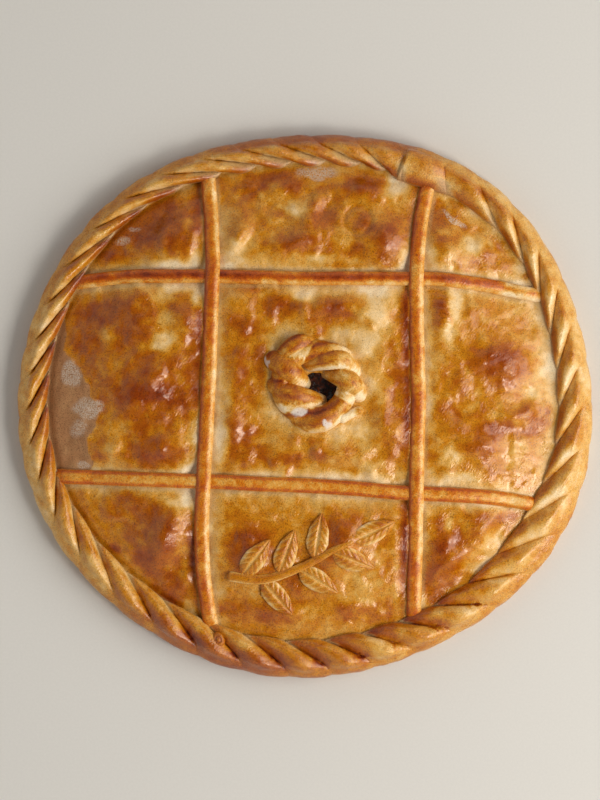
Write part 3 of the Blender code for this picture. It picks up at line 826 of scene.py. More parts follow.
@dataclass
class RopeRim:
    """The lower crust: underside, outer wall, and its edge folded over the lid into a rope."""

    form: PieForm
    tones: tuple[RimTone, ...] = tuple(RimTone(*row) for row in (
        (10, .28, .40, .25, .50, .5, .2, .67),
        (30, .33, .31, .21, .55, .6, .3, .68),
        (50, .31, .62, .36, .55, .5, .6, .71),
        (70, .57, .40, .38, .74, .60, .8, .74),
        (90, .72, .39, .37, .60, .50, 1., .77),
        (110, .49, .34, .33, .61, .50, .9, .80),
        (130, .42, .39, .28, .70, .35, .4, .82),
        (150, .43, .35, .32, .68, .40, .3, .84),
        (170, .35, .35, .36, .72, 1., .1, .84),
        (190, .34, .36, .48, .54, 1., .2, .84),
        (210, .34, .25, .42, .34, .4, .5, .86),
        (230, .47, .52, .41, .33, .3, .3, .95),
        (250, .69, .69, .36, .40, .7, .2, 1.10),
        (270, .49, .49, .45, .48, .9, .2, 1.24),
        (290, .47, .47, .46, .72, .9, .2, 1.24),
        (310, .36, .30, .36, .60, .9, .1, 1.05),
        (330, .44, .24, .28, .45, .5, .1, .80),
        (350, .37, .29, .27, .52, .4, .1, .68)))
    tone_places: dict[str, float] = field(default_factory=lambda: {
        "middle": 0.32, "inner": 0.56, "tip": 0.82})   # how far across each takes over
    tone_blend: float = 0.28
    pleats: int = 40
    pleat_start: float = -6.0
    pitch_waves: tuple[Wave, ...] = (
        (1, 3.8, 36.0), (2, 1.55, -37.0), (3, 0.9, 37.0), (4, 1.23, -11.0))
    height: float = 16.5
    belly_height: float = 6.5
    foot_inset: float = 2.6
    slant: float = 1.3
    slant_swing: float = 0.24     # how much stronger the slant is at the back left
    slant_swing_at: float = 140.0
    slant_power: float = 1.6
    slant_middle: float = 0.36
    roundness: float = 0.8
    window_pale_side: float = -15.0      # degrees of the side painted palest, towards the window: partly paler dough, partly painted light
    deep: float = 4.7
    sunk: float = 0.9
    shallow: float = 0.9
    smooth_edge: float = 0.24     # how far across the folds begin
    tip_thickness: float = 1.3
    tip_wave: float = 0.22        # how much of the folds' swell is left at the rope's inner edge
    seam_pleat: float = 7.7
    seam_spread: float = 1.25
    seam_straight: float = 0.85
    seam_reach: float = 3.6
    seam_edge: float = 68.4       # degrees of the edge of the rope's closing flap
    seam_step: float = 2.6
    gap_depth: float = 0.22       # depth of the thin line in a fold, as a share of a pleat's
    gap_width: float = 0.03
    columns: int = 24             # across one pleat
    rows: int = 62                # from the foot over the rope to the tip
    underside_rings: tuple[float, ...] = (0.06, 0.14, 0.24, 0.36, 0.5, 0.64, 0.78, 0.9, 0.97)
    underside_lift: float = 0.7
    seed: int = 11

    def pleat_angle(self, count: Number) -> Number:
        """Degrees of a pleat's groove, or of any place between two grooves."""
        turn = 360.0 / self.pleats * count
        return self.pleat_start + turn + waves(turn, self.pitch_waves)

    def window_side_paleness(self, degrees: Number) -> Number:
        """1 at the side towards the window, painted palest as partly paler dough and partly painted
        light, 0 across from it.
        """
        return 0.5 + 0.5 * np.cos(np.radians(degrees - self.window_pale_side))

    def tone(self, degrees: Number, name: str) -> Array:
        """One of the rope's tones at an angle."""
        return np.interp(degrees, [one.degrees for one in self.tones],
                         [getattr(one, name) for one in self.tones], period=360.0)

    def lit_folds(self, degrees: Number) -> Array:
        """1 where each fold is pale after its crease and brown before the next one, on the side
        towards the window: partly paler dough, partly painted light.
        """
        return self.window_side_paleness(degrees) * smooth((1.12 - self.tone(degrees, "lean")) / 0.3)

    def seam(self, count: Array) -> Array:
        """1 in the middle of the fold that closes the rope, 0 away from it."""
        away = (count - self.seam_pleat + self.pleats / 2) % self.pleats - self.pleats / 2
        return hump(away, self.seam_spread)

    def crest(self, count: Array, across: Array) -> Array:
        """How far a place stands between a groove, 0, and a pleat's crest, 1.

        Args:
            count, across: the place round the rim in pleats, and across it from 0 to the tip's 1.

        Returns:
            The crest at each place.
        """
        part = count % 1.0
        pale = self.lit_folds(self.pleat_angle(count))
        lean = self.tone(self.pleat_angle(count), "lean")
        crest = np.sin(np.pi * part ** lean) ** self.roundness
        away = np.minimum(part, 1.0 - part)
        gap = self.gap_depth * hump(away, self.gap_width) * smooth((across - 0.3) / 0.15)
        gap *= self.tone(self.pleat_angle(count), "line")
        crest -= gap * (1.0 - 0.9 * pale * smooth((across - 0.42) / 0.2))
        return crest + (0.8 - crest) * 0.9 * self.seam(count)

    def slanted(self, count: Array, across: Array) -> Array:
        """Degrees of places on the rope, whose folds run slanting over it.

        Args:
            count, across: the place round the rim in pleats, and across it from 0 to the tip's 1.

        Returns:
            The degrees of each place.
        """
        slant = self.slant + self.slant_swing * np.cos(
            np.radians(self.pleat_angle(count) - self.slant_swing_at))
        slant = slant * across ** self.slant_power - self.slant_middle
        return self.pleat_angle(count - slant * (1.0 - self.seam_straight * self.seam(count)))

    def swell(self, count: Array, across: Array, degrees: Array) -> Array:
        """How far the folds stand out of the rope's plain section, in millimetres.

        Args:
            count, across: the place round the rim in pleats, and across it from 0 to the tip's 1.
            degrees: the angle of the place.

        Returns:
            The swell at each place.
        """
        crest = self.crest(count, across)
        early = 0.12 * smooth((self.tone(degrees, "lean") - 0.86) / 0.2)
        folded = smooth((across - self.smooth_edge + early) / 0.26)
        deep = self.deep * (1.0 + 0.25 * self.tone(degrees, "hollow") + 2.0 * early)
        swell = self.shallow * crest + folded * ((deep - self.shallow) * crest - self.sunk)
        back = self.seam_edge - degrees % 360.0
        flap = smooth(back / 0.5) * (1.0 - smooth((back - 3.5) / 8.0))
        return swell + self.seam_step * flap * smooth((across - 0.12) / 0.2)

    def skin(self, count: Array, row: Array) -> tuple[Array, Array]:
        """Points of the rope.

        Args:
            count: the place round the rim, in pleats.
            row: the place over the rope: -0.25 at the foot, 0.5 on top and 1 at the tip.

        Returns:
            The points, one row of x, y and z each, and how far across the rope each lies, from 0
            outside to 1 at the tip.
        """
        form = self.form
        quarter = np.pi / 2 * np.abs(row) / np.where(row < 0, 0.25, 0.5)
        over = quarter - np.pi / 2
        below, rising = row <= 0, row <= 0.5
        across = np.where(below, 0.0, np.where(rising, 0.5 - 0.5 * np.cos(quarter),
                                               0.5 + 0.5 * np.sin(over)))
        out = np.where(rising, np.cos(quarter), -np.sin(over))
        up = np.where(below, 0.0, np.where(rising, np.sin(quarter), np.cos(over)))
        degrees = self.slanted(count, across)
        swell = self.swell(count, across, degrees)
        reach = self.seam_reach * self.seam(count) * smooth((across - 0.5) / 0.5)
        reach += form.bulge(degrees) * across
        wave = self.tip_wave + 0.6 * self.tone(degrees, "hollow") ** 2
        inward = swell * (1.0 - (1.0 - wave) * smooth((across - 0.5) / 0.45))
        inset = self.shallow + across * form.rope_width(degrees) - out * inward + reach
        inset += np.where(below, self.foot_inset * (1.0 - np.cos(quarter)), 0.0)
        tip = form.lid_shell(inset) + form.gap + self.tip_thickness
        height = np.where(rising, self.belly_height + (self.height - self.belly_height) * up,
                          tip + (self.height - tip) * up)
        height = np.where(below, self.belly_height * (1.0 - np.sin(quarter)), height)
        height += up * swell
        radius, angle = form.outline(degrees) - inset, np.radians(degrees)
        return xyz(radius * np.cos(angle), radius * np.sin(angle), height), across

    def roughened(self, points: Array, rows: Array) -> Array:
        """The rope's points with the unevenness of the dough.

        Args:
            points: the even points, row by row.
            rows: the place of each over the rope.

        Returns:
            The uneven points, none of them below the floor.
        """
        noise = Unevenness(self.seed)
        x, y, z = np.moveaxis(points, -1, 0)
        along = np.roll(points, -1, axis=1) - np.roll(points, 1, axis=1)
        outward = np.cross(along, np.gradient(points, axis=0))
        outward /= np.linalg.norm(outward, axis=-1, keepdims=True) + 1e-9
        rough = 0.45 * noise.layered(x, y, z, 9.0, 3) + 0.2 * noise.at(x, y, z, 2.6)
        points = points + outward * (rough * smooth((rows + 0.25) / 0.12))[..., None]
        points[..., 2] = np.maximum(points[..., 2], 0.0)
        return points

    def underside(self, foot: Array) -> Array:
        """Points under the pie, row by row from near its middle out to its foot.

        Args:
            foot: the points of the rope's foot.

        Returns:
            The points.
        """
        noise = Unevenness(self.seed)
        reach, angle = np.hypot(foot[:, 0], foot[:, 1]), np.arctan2(foot[:, 1], foot[:, 0])
        rings = []
        for share in self.underside_rings:
            x, y = reach * share * np.cos(angle), reach * share * np.sin(angle)
            lift = self.underside_lift * smooth(noise.layered(x, y, 3.0, 24.0, 3))
            rings.append(xyz(x, y, lift * smooth((1 - share) / 0.1)))
        return np.stack(rings)

    def tucked(self, tip: Array) -> Array:
        """Points from the rope's tip back between rope and lid and down, row by row.

        Args:
            tip: the points of the rope's tip.

        Returns:
            The points.
        """
        form = self.form
        reach, angle = np.hypot(tip[:, 0], tip[:, 1]), np.arctan2(tip[:, 1], tip[:, 0])
        outline = form.outline(np.degrees(angle))
        edge = outline - form.edge_inset
        rings = [(one, form.lid_shell(outline - one) + form.gap)
                 for one in (reach, (reach + edge) / 2, edge)]
        return np.stack([xyz(one * np.cos(angle), one * np.sin(angle), height)
                         for one, height in [*rings, (edge, form.base_thickness)]])

    def mesh(self) -> Mesh:
        """The whole crust in one closed loft, with its marks."""
        even = np.arange(self.columns) / self.columns
        part = even - 0.7 * np.sin(2 * np.pi * even) / (2 * np.pi)     # closer at the grooves
        count = (np.arange(self.pleats)[:, None] + part).ravel()
        counts, rows = np.meshgrid(count, np.linspace(-0.25, 1.0, self.rows))
        points, across = self.skin(counts, rows)
        points = self.roughened(points, rows)
        underside, tucked = self.underside(points[0]), self.tucked(points[-1])
        loft = np.concatenate([underside, points, tucked])
        height, columns = loft.shape[:2]
        faces = [*quads(height, columns, closed=True), np.arange(columns),
                 np.arange(columns) + (height - 1) * columns]
        mesh = make_mesh("rope_crust", loft.reshape(-1, 3), faces)
        x, y, _ = underside.reshape(-1, 3).T
        noise = Unevenness(self.seed)
        below = {"bake": 0.42 + 0.35 * noise.layered(x, y, 0.0, 30.0, 4), "wash": 0.0,
                 "flour": 0.5 * smooth(noise.layered(x, y, 9.0, 12.0, 3) * 2), "crease": 0.0}
        hidden = {"bake": 0.3, "wash": 0.5, "flour": 0.0, "crease": 0.6}
        seen = self.marks(points.reshape(-1, 3), across.ravel(), counts.ravel())
        put_marks(mesh, **{name: np.concatenate([
            np.broadcast_to(below[name], len(x)), seen[name],
            np.full(len(tucked) * columns, hidden[name])]) for name in seen})
        return mesh

    def marks(self, points: Array, across: Array, count: Array) -> Marks:
        """Browning, egg wash and creases of the rope's skin, with painted light and shade on the
        folds.

        Args:
            points: the skin's points.
            across: how far across the rope each lies, from 0 outside to 1 at the tip.
            count: where each lies round the rim, in pleats.

        Returns:
            The values of each mark.
        """
        x, y, z = points.T
        noise = Unevenness(self.seed + 1)
        part = count % 1.0
        inner = smooth((across - 0.28) / 0.2)
        part = np.clip(part + 0.05 * noise.layered(x, y, z, 5.0, 2) * inner, 0.0, 1.0)
        flank = hump(part - 0.14, 0.17) * inner
        groove = np.maximum(hump(part, 0.03), hump(part - 1.0, 0.05)) * inner
        degrees = bearing(x, y)
        pale = self.lit_folds(degrees)
        bake = self.tone(degrees, "outer")
        for name, where in self.tone_places.items():
            share = smooth((across - where + self.tone_blend / 2) / self.tone_blend)
            bake += (self.tone(degrees, name) - bake) * share
        bake = bake + 0.16 * noise.layered(x, y, z, 20.0, 3) + 0.12 * noise.layered(x, y, z, 7.0, 2)
        # painted light and shade on the folds: the flank after each crease pale on the window side,
        # brown on the far side
        bake += pale * (0.15 * hump(part - 0.64, 0.30) * inner - 0.15 * flank)
        bake += (1.0 - pale) * (0.20 * flank - 0.12 * hump(part - 0.85, 0.14) * inner)
        # painted shade: the line down each crease darkened where its line tone is strong
        bake += (0.46 * self.tone(degrees, "line") - 0.16) * groove
        cracks = hump(across - 0.38, 0.13) * np.maximum(hump(part, 0.15), hump(part - 1.0, 0.13))
        cracks *= smooth(3.0 * noise.at(x, y, z, 1.7))
        bake += 0.5 * cracks * smooth(self.tone(degrees, "lean") * 4.0 - 3.4)
        open_fold = self.tone(degrees, "hollow")
        hollow = np.maximum(hump(part, 0.07 + 0.18 * open_fold),
                            hump(part - 1.0, 0.07 + 0.12 * open_fold))
        hollow *= smooth((across - 0.76 + 0.26 * open_fold) / 0.2)
        bake -= 0.2 * hollow * open_fold
        behind_seam = degrees - self.seam_edge + 8.0
        bake += 0.1 * hump(behind_seam + 0.2, 2.6) * smooth((across - 0.3) / 0.2)
        crease = np.clip(0.95 * hollow + 0.5 * smooth((across - 0.95) / 0.05), 0.0, 1.0)
        crease *= 1.0 - 0.8 * hump(degrees + 35.0, 25.0)
        wash = 0.78 + 0.2 * noise.at(x, y, z, 15.0) - 0.4 * crease
        # duller outer band on the side away from the window: partly dry dough, partly painted shade
        dull = 1.0 - self.window_side_paleness(degrees)
        wash -= 0.30 * dull * (1.0 - smooth((across - 0.12) / 0.25))
        wash -= 0.4 * hump(behind_seam, 4.0)
        return {"bake": bake, "wash": np.clip(wash, 0, 1), "flour": np.zeros_like(bake),
                "crease": crease}

    def build(self, finish: Material) -> None:
        """Makes the crust and lays it in place."""
        place_piece(add_object("rope_crust", self.mesh()), finish, "rim_crust", "bottom_crust")


# ------------------------------ lid
@dataclass
class Lid:
    """The domed upper crust, blistered, with the steam vent cut through it."""

    form: PieForm
    cells: int = 288
    stitch: int = 4               # cells of the top for one of the underside
    rim_inset: float = 9.3
    swell: float = 1.6            # how high the blisters stand, as a share of the solid's
    heap_and_shadow_strengths: dict[str, tuple[Point, ...]] = field(default_factory=lambda: {   # y and strength of the heap and of the painted shadow left of the strip
        "strip_left": ((-137, .2), (-100, .65), (-80, .9), (-60, .2), (-20, .2), (0, .5),
                       (25, .9), (50, .9), (76, .3), (90, .4), (141, .6)),
        "strip_right": ((-130, .1), (-110, .7), (-75, 1.4), (-60, .8), (-48, .1), (-32, .6),
                        (-15, 1.1), (0, .95), (62, 1.2), (78, 0), (112, .3), (133, .6))})
    plain_bake: float = 0.42      # browning away from all patches
    patch_bake: float = 0.44      # what a patch adds to it
    painted_strip_shadow: float = 0.26     # painted shadow that the long strips cast at their left
    blond_and_sheen_loss: float = 0.33      # what it loses where it stayed pale, and under the painted highlight
    pale_loss: float = 0.27       # beside the strips and the rope
    painted_sheen_loss: float = 0.20        # painted sheen: what a patch loses on a flank that faces the window
    lumps: tuple[Point, ...] = ((13.0, 1.4), (6.5, 1.6), (3.4, 0.3))   # sizes and heights
    pimple_start: float = 0.15    # the middle ones only show where they stand out this far
    heap: tuple[float, float, float, float] = (1.5, 1.5, 7.0, 2.0)   # height, middle, width, start
    seed: int = 21
    browned_and_shaded: tuple[Spot, ...] = (   # x, y, half length, half width, turn and strength; (-27, 16) and (-26, 30) are painted shadow of the vent ring
        # back left
        (-90, 118, 25, 12, 0, .5), (-98, 102, 19, 10, -10, .6), (-74, 96, 9, 9, 0, .5),
        (-66, 112, 3, 12, 0, .6), (-113, 90, 11, 5, 0, .6), (-79, 115, 11, 11, 0, .5),
        # back
        (-50, 131, 5, 6, 0, .6), (-28, 130, 6, 5, 0, .5), (-16, 137, 6, 4, 0, .7),
        (23, 84, 12, 3, 0, .5), (61, 108, 4, 9, 0, .5), (56, 94, 4, 8, 0, .5),
        (-8, 132, 10, 6, 0, .62), (37, 132, 18, 8, 8, .72), (9, 110, 10, 8, 0, .72),
        (11, 120, 14, 7, 0, .3), (34, 109, 8, 8, 0, .5), (49, 99, 11, 11, -40, .7),
        (-2, 95, 20, 5, 0, .66), (-36, 125, 11, 8, 0, .42), (-17, 109, 20, 11, 0, .22),
        (49, 86, 9, 5, 0, .6), (-28, 137, 9, 5, 10, .6), (30, 92, 9, 5, 0, .5),
        (53, 95, 4, 6, 0, .5), (53, 95, 5, 8, 0, .6), (1, 99, 8, 4, 0, .6),
        # back right
        (111, 88, 8, 5, -20, .5), (74, 114, 4, 7, 0, .6), (90, 119, 6, 4, -30, .6),
        (82, 102, 10, 10, 0, .62), (83, 113, 8, 6, 0, .4), (115, 94, 16, 8, -20, .42),
        (132, 79, 3, 3, 0, .95), (97, 82, 9, 6, 0, .4), (76, 116, 5, 9, 0, .6),
        # left
        (-124, 56, 14, 10, 0, .5), (-101, 59, 14, 10, 0, .4), (-130, 34, 9, 12, 0, .4),
        (-98, 42, 18, 12, 0, .42), (-75, 56, 11, 11, 0, .25), (-101, 8, 10, 6, 10, 1.),
        (-94, 22, 16, 8, 20, .5), (-115, 7, 14, 14, 0, .42), (-79, 29, 11, 14, 0, .5),
        (-121, -3, 4, 6, 0, .5), (-92, -26, 16, 6, 0, .72), (-119, -26, 9, 8, 0, .55),
        (-75, -31, 11, 5, 0, .62), (-90, -7, 20, 11, 0, .4), (-72, 3, 6, 10, 0, .9),
        (-101, -17, 8, 6, 0, .6), (-87, 8, 11, 7, 0, .8), (-68, 48, 3, 8, 0, .7),
        (-113, -42, 6, 4, 0, .5), (-82, 7, 6, 5, 0, .7), (-65, 20, 3, 12, 0, .6),
        (-99, -35, 13, 5, 0, .5), (-84, -25, 9, 6, 0, .4), (-86, -36, 5, 4, 0, .5),
        (-66, 30, 3, 24, 0, .55), (-106, -42, 9, 4, 0, .5), (-71, -28, 5, 4, 0, .6),
        # middle
        (-30, 70, 14, 3, 0, .6), (-36, 47, 10, 8, 0, .55), (-15, 60, 14, 6, -5, .5),
        (16, 58, 14, 6, 0, .6), (6, 52, 9, 5, 0, .6), (5, -20, 9, 4, 0, .5), (8, 42, 9, 4, 0, .6),
        (-31, -13, 6, 6, 0, .5), (-17, 54, 7, 4, 0, .4), (41, 1, 5, 5, 0, .4),
        (55, 20, 5, 20, 0, .7), (25, -39, 6, 3, 0, .4), (47, -36, 6, 3, 0, .4),
        (51, -12, 5, 7, 0, .6), (-38, -13, 5, 6, 0, .6), (-36, -34, 5, 4, 0, .5),
        # painted shadow of the vent ring: (-27, 16) here and (-26, 30) below
        (-37, 10, 5, 5, 0, .4), (-40, 31, 8, 10, 0, .5), (-27, 16, 5, 9, 0, .6),
        (-26, 30, 5, 8, 0, .6), (-36, 7, 7, 9, 0, .5), (-31, -23, 8, 7, 0, .45),
        (37, 0, 7, 7, 0, .35), (-45, -23, 6, 16, 0, .6), (-39, -7, 8, 8, 0, .45),
        (46, -6, 10, 9, 0, .62), (27, -23, 9, 8, 0, .45), (-38, 19, 6, 6, 0, .5),
        (-12, -41, 9, 4, 0, .5), (51, -23, 9, 11, 0, .5), (5, -29, 16, 5, 0, .55),
        (-17, -31, 12, 5, 0, .45), (-25, 29, 4, 5, 0, .7),
        # right
        (78, 70, 5, 4, 0, .5), (120, 23, 6, 4, 0, .7), (79, 56, 4, 14, 0, .6),
        (73, 70, 5, 4, 0, .6), (119, 13, 9, 5, 0, .5), (73, -26, 5, 9, 0, .6),
        (115, -13, 10, 5, 0, .9), (119, 25, 11, 7, 0, .9), (130, -6, 7, 4, 0, .6),
        (105, -41, 9, 4, 0, .4), (106, -28, 8, 5, 0, .4), (142, -3, 4, 6, 0, .5),
        (132, 50, 6, 5, 0, .3), (119, 24, 25, 11, -6, .7), (114, 33, 12, 6, 0, .3),
        (110, 10, 9, 6, 0, .4), (136, -11, 14, 7, 15, .6), (106, -23, 14, 10, -20, .62),
        (144, -4, 3, 2, 20, .9), (87, -35, 11, 7, 0, .45), (85, 7, 11, 14, 0, .35),
        (103, 2, 20, 9, 0, .35), (132, -4, 7, 5, 0, .4),
        # front left
        (-64, -89, 4, 8, 0, .8), (-105, -54, 6, 4, 0, .6), (-86, -70, 15, 19, -20, .72),
        (-78, -84, 11, 11, 0, .66), (-112, -85, 3, 3, 0, .9), (-81, -108, 10, 10, 30, .6),
        (-94, -88, 6, 6, 0, .8), (-63, -89, 4, 6, 0, .6), (-104, -60, 14, 9, 0, .4),
        (-95, -91, 12, 8, 0, .3), (-80, -76, 9, 10, 0, .3), (-92, -95, 6, 6, 0, .4),
        (-77, -117, 7, 6, 0, .5),
        # front
        (-33, -87, 14, 17, 0, .78), (21, -77, 15, 15, 0, .78), (-19, -123, 19, 8, -4, .6),
        (-45, -121, 9, 8, 0, .45), (31, -122, 14, 7, 10, .5), (48, -125, 10, 8, 0, .5),
        (51, -91, 8, 16, 0, .4), (-4, -102, 16, 11, 0, .35),
        # front right
        (73, -70, 5, 5, 0, .5), (109, -63, 6, 4, 0, .4), (93, -85, 6, 5, 30, .8),
        (81, -102, 7, 7, 0, .95), (86, -99, 12, 8, 45, .6), (79, -101, 5, 6, 0, .6),
        (81, -80, 14, 12, 0, .4), (79, -110, 10, 11, 0, .55), (80, -91, 11, 20, -12, .76),
        (95, -75, 14, 10, 20, .6), (114, -69, 18, 8, 35, .6), (79, -106, 8, 10, -10, .5))
    blond_and_sheen: tuple[Spot, ...] = (   # where the dough stayed pale, in the same way; (88, 57) is a painted highlight on the ribs
        # back left
        (-78, 82, 12, 5, 0, 1.3), (-63, 86, 5, 7, 0, .9),
        # back
        (-46, 82, 6, 3, 0, .8), (-44, 87, 9, 4, 0, .7), (61, 82, 6, 9, 0, 1.3),
        (53, 129, 6, 5, 0, .8), (54, 134, 6, 5, 0, 1.1), (2, 117, 7, 4, 0, .5),
        (-9, 117, 6, 5, 0, .7), (-38, 95, 6, 5, 0, .8), (7, 88, 7, 3, 0, .7),
        # back right
        (99, 95, 9, 6, -20, .9), (82, 102, 4, 5, 0, .5), (86, 103, 4, 5, 0, .5),
        # left
        (-82, 39, 6, 7, 0, 1.), (-66, -42, 4, 4, 0, .6), (-84, 38, 8, 6, 30, .5),
        (-116, 42, 5, 6, 0, .6), (-77, 70, 9, 3, 0, .7), (-66, -38, 7, 4, 0, .9),
        (-116, -25, 6, 5, 0, .6), (-82, 51, 7, 6, 0, .6), (-66, -46, 5, 7, 0, .9),
        (-62, 71, 5, 4, 0, .8), (-63, -35, 4, 8, 0, .7), (-84, 26, 6, 5, 0, .6),
        (-63, -17, 4, 8, 0, 1.), (-63, 64, 4, 8, 0, 1.), (-85, 63, 6, 5, 0, .6),
        (-98, 35, 6, 4, 0, .5), (-113, 45, 5, 4, 0, .4),
        # middle
        (40, 70, 10, 4, 0, 1.2), (-2, 63, 6, 4, 0, .5), (28, 57, 5, 4, 0, .5),
        (14, -31, 5, 3, 0, .6), (-50, -20, 4, 13, 0, 1.3), (37, 37, 8, 7, 0, .8),
        (44, -36, 7, 3, 0, .5), (44, 48, 7, 7, 0, .7), (-1, 65, 9, 3, 0, .4),
        (40, 57, 8, 6, 20, .7), (2, 68, 14, 3, 0, .4), (24, 43, 10, 5, 0, .6),
        (38, -43, 11, 3, 0, .5), (12, -42, 12, 3, 0, .6), (-20, -40, 14, 3, 0, .5),
        (15, 42, 5, 4, 0, .6), (43, 64, 6, 4, 0, .6), (-47, -20, 4, 6, 0, .7),
        (60, -42, 4, 4, 0, .5), (-39, 42, 5, 4, 0, .4),
        # right
        (127, 70, 6, 4, 0, .6), (126, 69, 8, 4, 0, 1.3), (135, 8, 5, 5, 0, .6),
        (137, 21, 5, 5, 0, .6), (88, 57, 4, 11, 0, .9), (82, 43, 5, 5, 0, .8),
        # painted highlight: (88, 57) on the ribbed ridge
        (86, -31, 8, 5, 0, .8), (73, 1, 4, 8, 0, .7), (107, 37, 5, 4, 0, .6),
        (83, 7, 6, 7, 0, .5), (95, 0, 6, 5, 0, .5), (145, 23, 5, 8, 0, .7),
        (122, -26, 10, 8, 0, .45), (93, -42, 14, 4, 0, .7), (100, 6, 10, 6, 20, .4),
        # front left
        (-80, -62, 6, 5, 0, .5), (-68, -121, 6, 5, -40, .7), (-68, -54, 6, 5, 0, .7),
        (-79, -56, 10, 4, 0, .8),
        # front right
        (87, -70, 5, 5, 0, .7), (127, -54, 6, 4, 0, .6), (90, -109, 5, 4, 35, .3),
        (106, -97, 6, 4, 35, .9), (110, -92, 6, 4, 38, .5), (87, -111, 5, 4, 30, .3),
        (96, -70, 5, 5, 0, .6), (114, -76, 6, 4, 30, .6), (83, -75, 4, 4, 0, .6),
        (109, -77, 6, 7, 30, .5), (107, -56, 12, 4, -8, .8))
    unwashed_edge: tuple[Point, ...] = (   # where the egg wash ends at the left
        (-143.5, 60.0), (-142.3, 33.5), (-135.5, 24.6), (-124.1, 2.1), (-123.0, -6.8),
        (-128.7, -18.4), (-126.4, -29.8), (-128.7, -42.0))
    flanks: tuple[Spot, ...] = (   # places that face the window; the last value is their slope
        # back left
        (-65, 98, 9, 3, 85, .45),
        # back
        (-36, 100, 10, 5, 57, .85), (9, 118, 7, 5, 57, .75), (8, 90, 4, 3, 57, .45),
        (59, 88, 6, 3, 80, .35),
        # back right
        (99, 103, 6, 4, 50, .33),
        # left
        (-111, -26, 5, 3, 50, .45),
        # middle
        (-33, 45, 5, 3, 50, .45), (2, 63, 5, 3.5, 60, .51), (-41, 14, 5, 3, 65, .3),
        (-52, -37, 8, 4, 60, .33), (38, 33, 7, 5, 35, .38), (12, -21, 4, 3, 60, .3),
        (38, -28, 6, 4, 40, .42), (53, -29, 7, 4, 70, .3), (53, -6, 5, 15, 0, -.22),
        (55, 46, 4, 20, 0, -.15),
        # right
        (127, 12, 8, 6, 50, .25), (118, 24, 7, 5, 60, -.15),
        # front left
        (-79, -84, 14, 10, 60, .6), (-70, -84, 9, 6, 70, .4), (-68, -101, 7, 4, 60, .38),
        # front
        (-28, -92, 7, 5, 60, .38), (28, -84, 8, 5, 65, .38),
        # front right
        (91, -95, 7, 5, 55, .5), (107, -79, 14, 5, 55, .45), (93, -83, 5, 5, 50, -.3))
    dimple: tuple[float, float, float, float] = (31.0, 110.0, 8.0, 1.1)   # x, y, radius, depth
    ribs: Spot = (80.5, 54.0, 5.5, 15.0, 0.0, 0.4)   # a ridge with ribs across it
    rib_pitch: float = 3.8
    facing: float = math.radians(-28.0)   # where the window is
    floury: tuple[Spot, ...] = (
        (-138, 18.7, 6, 9, 10, .9), (-128.7, -1, 8, 6, 0, 1.0), (-133, -12, 6, 6, 0, .5),
        (-130.5, -33.5, 5, 2.6, 0, .8), (6.2, 138, 13, 4.0, -5, .75), (88, 111, 9, 2.4, -35, .8),
        (-101, 104.5, 4, 2, 20, .5), (-108, 97.5, 6, 2.4, 5, .6))

    def heap_and_shadow_band(self, x: Array, y: Array, away: float, width: float, start: float = 0.0) -> Array:
        """Strength of a band along the left of the long strips: the heap of dough there and the
        painted shadow that the strips cast.

        Args:
            x, y: the places.
            away: how far its middle is from a strip's middle line.
            width: half its width.
            start: where it has risen fully from the strip's middle line.

        Returns:
            Its strength at each place.
        """
        total = np.zeros_like(x)
        for name, depths in self.heap_and_shadow_strengths.items():
            _, left = from_line(x, y, np.asarray(self.form.strips[name]))
            strength = np.interp(y, *np.transpose(depths)) * hump(left - away, width)
            total += strength * (smooth(left / start) if start else 1.0)
        return total

    def lit(self, x: Array, y: Array) -> Array:
        """1 on the flanks of the blisters that face the window, where the browning is painted paler
        as a sheen.
        """
        step_x, step_y = 1.5 * math.cos(self.facing), 1.5 * math.sin(self.facing)
        top = self.form.lid_top
        fall = (top(x - step_x, y - step_y, 1.5) - top(x + step_x, y + step_y, 1.5)) / 3.0
        return smooth((fall - 0.06) / 0.3)

    def skin(self, x: Array, y: Array) -> Array:
        """Height of the lid's skin, with the small lumps that the solid leaves out.

        Args:
            x, y: the places.

        Returns:
            The heights.
        """
        form, noise = self.form, Unevenness(self.seed)
        shore = form.past_rope(x, y)
        open_lid = smooth((shore - 2.0) / 8.0)
        (size, rise), (small, small_rise), (fine, fine_rise) = self.lumps
        lumps = rise * noise.layered(x, y, 0.0, size, 3)
        pimples = np.maximum(noise.at(x, y, 4.0, small), self.pimple_start) - self.pimple_start
        height = form.lid_top(x, y, self.swell) + open_lid * (lumps + small_rise * pimples)
        height += open_lid * fine_rise * noise.layered(x, y, 8.0, fine, 2)
        heap, away, width, start = self.heap
        height += heap * self.heap_and_shadow_band(x, y, away, width, start) * open_lid
        beside = 2.1 * smooth(x / 160.0 + 0.5) - 1.2     # a dip at the left, a ridge at the right
        height += beside * hump(shore - 1.6, 2.3)
        for cx, cy, length, width, turn, slope in self.flanks:
            down = (x - cx) * math.cos(self.facing) + (y - cy) * math.sin(self.facing)
            height -= slope * down * spot(x, y, (cx, cy), (length, width), turn)
        cx, cy, radius, depth = self.dimple
        height -= depth * hump(np.hypot(x - cx, y - cy) - radius, 1.5)
        cx, cy, length, width, turn, depth = self.ribs
        height += depth * spot(x, y, (cx, cy), (length, width), turn, 2.0) * np.sin(
            2 * np.pi * (y + 0.2 * x) / self.rib_pitch)
        lip = hump(form.vent_reach(x, y) - 1.0, 0.16)
        return height - 0.9 * lip

